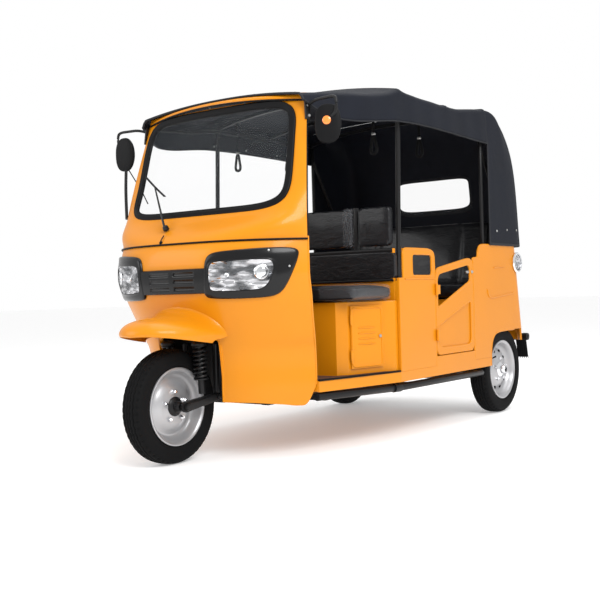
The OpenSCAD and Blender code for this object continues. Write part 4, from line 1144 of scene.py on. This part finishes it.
def sideLamps():
    lampAt = panel["lampPlace"]
    rim = turned([(50, 0), (62, 0), (64, 8), (58, 14), (50, 13), (50, 0)], lampAt, (1, 0, 0), 40)
    piece("sideLampRims", bothSides([rim]), "chrome", stands=["marker_lamps"])
    piece("sideLampBowls", bothSides([turned([(0, 1), (52, 4), (52, 0), (0, 0)], lampAt, (1, 0, 0), 36)]),
          "lamp_chrome", crease=20)
    piece("sideLampLenses",
          bothSides([turned([(0, 16), (20, 15), (40, 12), (51, 7), (51, 5), (0, 5)], lampAt, (1, 0, 0),
                            36)]), "lamp_clear")


def seatDoor():
    # access door of the seat box: louvres, swage line and turn lock
    lean = math.atan2(54, 238)
    ex = np.array((math.cos(lean), -math.sin(lean), 0))
    ey = np.array((math.sin(lean), math.cos(lean), 0))
    spot = lambda out, along, z: np.array((512, -508, 0)) + ex * out + ey * along + np.array((0, 0, z))
    taper = np.sin(np.linspace(0.25, math.pi - 0.25, 12)) ** 0.4
    louvres = [swept(np.linspace(spot(10, 60, z), spot(10, 176, z), 12), slabSection(9, 9, 2.2),
                     (0, 0, 1), scale=taper) for z in (496, 522, 548, 574)]
    louvres.append(tube([spot(10, 22, 664), spot(10, 120, 668), spot(10, 216, 664)], 3.0, 1))
    rim = [spot(10, 18, 388), spot(10, 18, 672), spot(10, 220, 672), spot(10, 220, 388)]
    louvres.append(swept(filleted(rim, 22, True), circle(3.6, 10), ex, True))
    piece("seatDoorPress", louvres, "body_paint", "seat_access_door")
    piece("seatDoorLock",
          [turned([(0, 8), (7, 8), (9, 5), (9, -1), (0, -1)], spot(10, 205, 530), ex, 20)], "bolt",
          "seat_access_door")
    hinges = [tube([spot(11, 13, z - 24), spot(11, 13, z + 24)], 5, 0, (0, 1, 0), 10) for z in (430, 640)]
    piece("seatDoorHinges", hinges, "body_paint", "seat_access_door")


def halfDoors():
    # rolled outline, hoop and the diagonal band's lips
    side = panel["side"]
    for tag, sign in (("Left", 1), ("Right", -1)):
        parts = [plateFrame(panel["door"], side - 6, 7, 16, True),
                 plateFrame(panel["doorUpper"], side - 5, 6, 22, True),
                 plateFrame(panel["doorLower"], side - 4, 5, 22, True)]
        parts = parts if sign > 0 else [mirrored(p) for p in parts]
        body = tag.lower() + "_door"
        piece("doorRolls" + tag, parts, "body_paint", body)
        bolts = [dome((sign * (side + 1), 200, z), (sign, 0, 0), 6, 5, 12) for z in (520, 760)]
        piece("doorBolts" + tag, bolts, "bolt", body)
        pins = [tube([(sign * 629, 176, z - 30), (sign * 629, 176, z + 30)], 7.4, 0, (0, 1, 0), 14)
                for z in (508, 748)]
        piece("doorHinges" + tag, pins, "body_paint", body)
        latch = [pillow((sign * 608, 596, 842), (16, 60, 16), (5, 5), 12, 24),
                 dome((sign * (side + 1), 612, 842), (sign, 0, 0), 9, 7, 16)]
        piece("doorLatch" + tag, latch, "bolt", body)


def rearDetails():
    # lamps, plate, hatch trim, bumper ends and mud flaps
    rearFace = lambda z: 1050 + float(np.interp(z, [480, 1000], [316, 233]))
    corners = [(x, rearFace(z) + 1, z) for x, z in ((-320, 480), (320, 480), (320, 790), (-320, 790))]
    piece("hatchRim", [tube(corners, 4, 2, (0, 1, 0), 10, True)], "body_paint", "engine_door")
    for tag, look, z, half in (("Red", "lamp_red", 884, 30), ("Amber", "amber", 928, 16)):
        parts = [pillow((440, rearFace(z) + 18, z), (150, 26, 2 * half - 4), (5, 4), 16, 40, 9)]
        piece("tailLamp" + tag, bothSides(parts), look, stands=["tail_lamps"] if tag == "Red" else ())
    piece("plateBolts", [dome((x, 1457, 500), (0, 1, 0), 8, 5, 6) for x in (-75, 75)], "bolt")
    piece("blankPlate", [pillow((0, 1452, 476), (250, 9, 104), (12, 12), 8, 40)], "plate")
    cap = turned([(0, 8), (16, 6), (23, 0), (23.5, -26), (22, -28), (22, -30), (0, -30)],
                 (594, 1433.5, 434), (1, 0, 0), 24)
    piece("bumperCaps", bothSides([cap]), "black_rubber")
    teeth = np.linspace(548, 616, 69)
    flap = np.stack([np.stack([teeth, 1361 + 0 * teeth, np.full_like(teeth, 419.0)], -1),
                     np.stack([teeth, 1390 + 0 * teeth,
                               300 + 10 * np.abs(np.sin((teeth - 548) * math.pi / 13.6))], -1)])
    piece("flapSheets", bothSides([walled(flap, flap + (0, 5, 0))]), "black_rubber", stands=["mud_flaps"])


for make in (sidePressings, sillTrim, sideLamps, seatDoor, halfDoors, rearDetails):
    make()
print("body details made")


# the CAD nodes that stay in view: their own finish, welded and softly edged
slots = {s["node"]: s["material_slot"] for s in frame["record"]["subparts"]}
softEdge = {"seat_box": 3.0, "partition": 2.0, "side_sills": 3.0, "rear_seat_box": 3.0, "floor_mat": 2.0,
            "engine_block": 8.0, "b_post_panels": 1.5, "quarter_panels": 1.5, "rear_panel": 1.5,
            "door_left": 1.5, "door_right": 1.5}
for nodeName, node in cadNodes.items():
    node.data.materials.clear()
    node.data.materials.append(looks[slots[nodeName]])
    if node.hide_render:
        continue
    weld = node.modifiers.new("weld", "WELD")
    weld.merge_threshold = 0.00003
    softenEdges(node, softEdge.get(nodeName, 1.0), 35)


# floor, light and camera
studio = {"floor": 60.0, "world": 0.78, "backdrop": 1.0, "key": 310.0, "fill": 90.0, "top": 170.0}
floorMesh = bpy.data.meshes.new("studioFloor")
size = studio["floor"]
floorMesh.from_pydata([(-size, -size, 0), (size, -size, 0), (size, size, 0), (-size, size, 0)], [],
                      [(0, 1, 2, 3)])
floor = bpy.data.objects.new("studioFloor", floorMesh)
bpy.context.scene.collection.objects.link(floor)
floorMesh.materials.append(Shade("paleFloor", (0.88, 0.88, 0.88), 0.6, Emission_Color=(1, 1, 1, 1),
                                 Emission_Strength=0.26).material)

world = bpy.data.worlds.new("studioWorld")
bpy.context.scene.world = world
world.use_nodes = True
lit = world.node_tree.nodes["Background"]
lit.inputs[0].default_value, lit.inputs[1].default_value = (1.0, 1.0, 1.0, 1), studio["world"]
seen = world.node_tree.nodes.new("ShaderNodeBackground")
seen.inputs[0].default_value, seen.inputs[1].default_value = (1.0, 1.0, 1.0, 1), studio["backdrop"]
pick = world.node_tree.nodes.new("ShaderNodeMixShader")
ray = world.node_tree.nodes.new("ShaderNodeLightPath")
for source, goal in ((ray.outputs["Is Camera Ray"], pick.inputs[0]), (lit.outputs[0], pick.inputs[1]),
                     (seen.outputs[0], pick.inputs[2]),
                     (pick.outputs[0], world.node_tree.nodes["World Output"].inputs[0])):
    world.node_tree.links.new(source, goal)


def softbox(name, place, aim, power, wide, tall):
    lamp = bpy.data.lights.new(name, "AREA")
    lamp.shape, lamp.size, lamp.size_y, lamp.energy = "RECTANGLE", wide, tall, power
    made = bpy.data.objects.new(name, lamp)
    bpy.context.scene.collection.objects.link(made)
    made.location = place
    made.rotation_mode = "QUATERNION"
    made.rotation_quaternion = (Vector(aim) - Vector(place)).to_track_quat("-Z", "Y")


softbox("keyBox", (4.5, -3.0, 4.2), (0, 0, 0.9), studio["key"], 3.5, 2.5)
softbox("fillBox", (-3.5, -5.0, 2.8), (0, -0.6, 0.9), studio["fill"], 3.0, 3.0)
softbox("topBox", (0.5, 0.5, 5.5), (0, 0, 0.9), studio["top"], 5.0, 5.0)

view = {"place": (3.0220, -4.3186, 0.7475), "heading": 0.6315, "pitch": -0.0068, "roll": -0.0281,
        "lens": 57.40}
sa, ca = math.sin(view["heading"]), math.cos(view["heading"])
sp, cp = math.sin(view["pitch"]), math.cos(view["pitch"])
ahead = Vector((-sa * cp, ca * cp, sp))
right = Vector((ca, sa, 0))
above = right.cross(ahead)
cr, sr = math.cos(view["roll"]), math.sin(view["roll"])
rightTilted, aboveTilted = right * cr + above * sr, above * cr - right * sr
camera = bpy.data.objects.new("studioCamera", bpy.data.cameras.new("studioCamera"))
bpy.context.scene.collection.objects.link(camera)
camera.data.lens, camera.data.sensor_width = view["lens"], 36.0
camera.data.clip_end = 200
turn = Matrix((rightTilted, aboveTilted, -ahead)).transposed().to_4x4()
turn.translation = Vector(view["place"])
camera.matrix_world = turn
bpy.context.scene.camera = camera
bpy.context.scene.view_settings.view_transform = "Standard"
print("studio set")
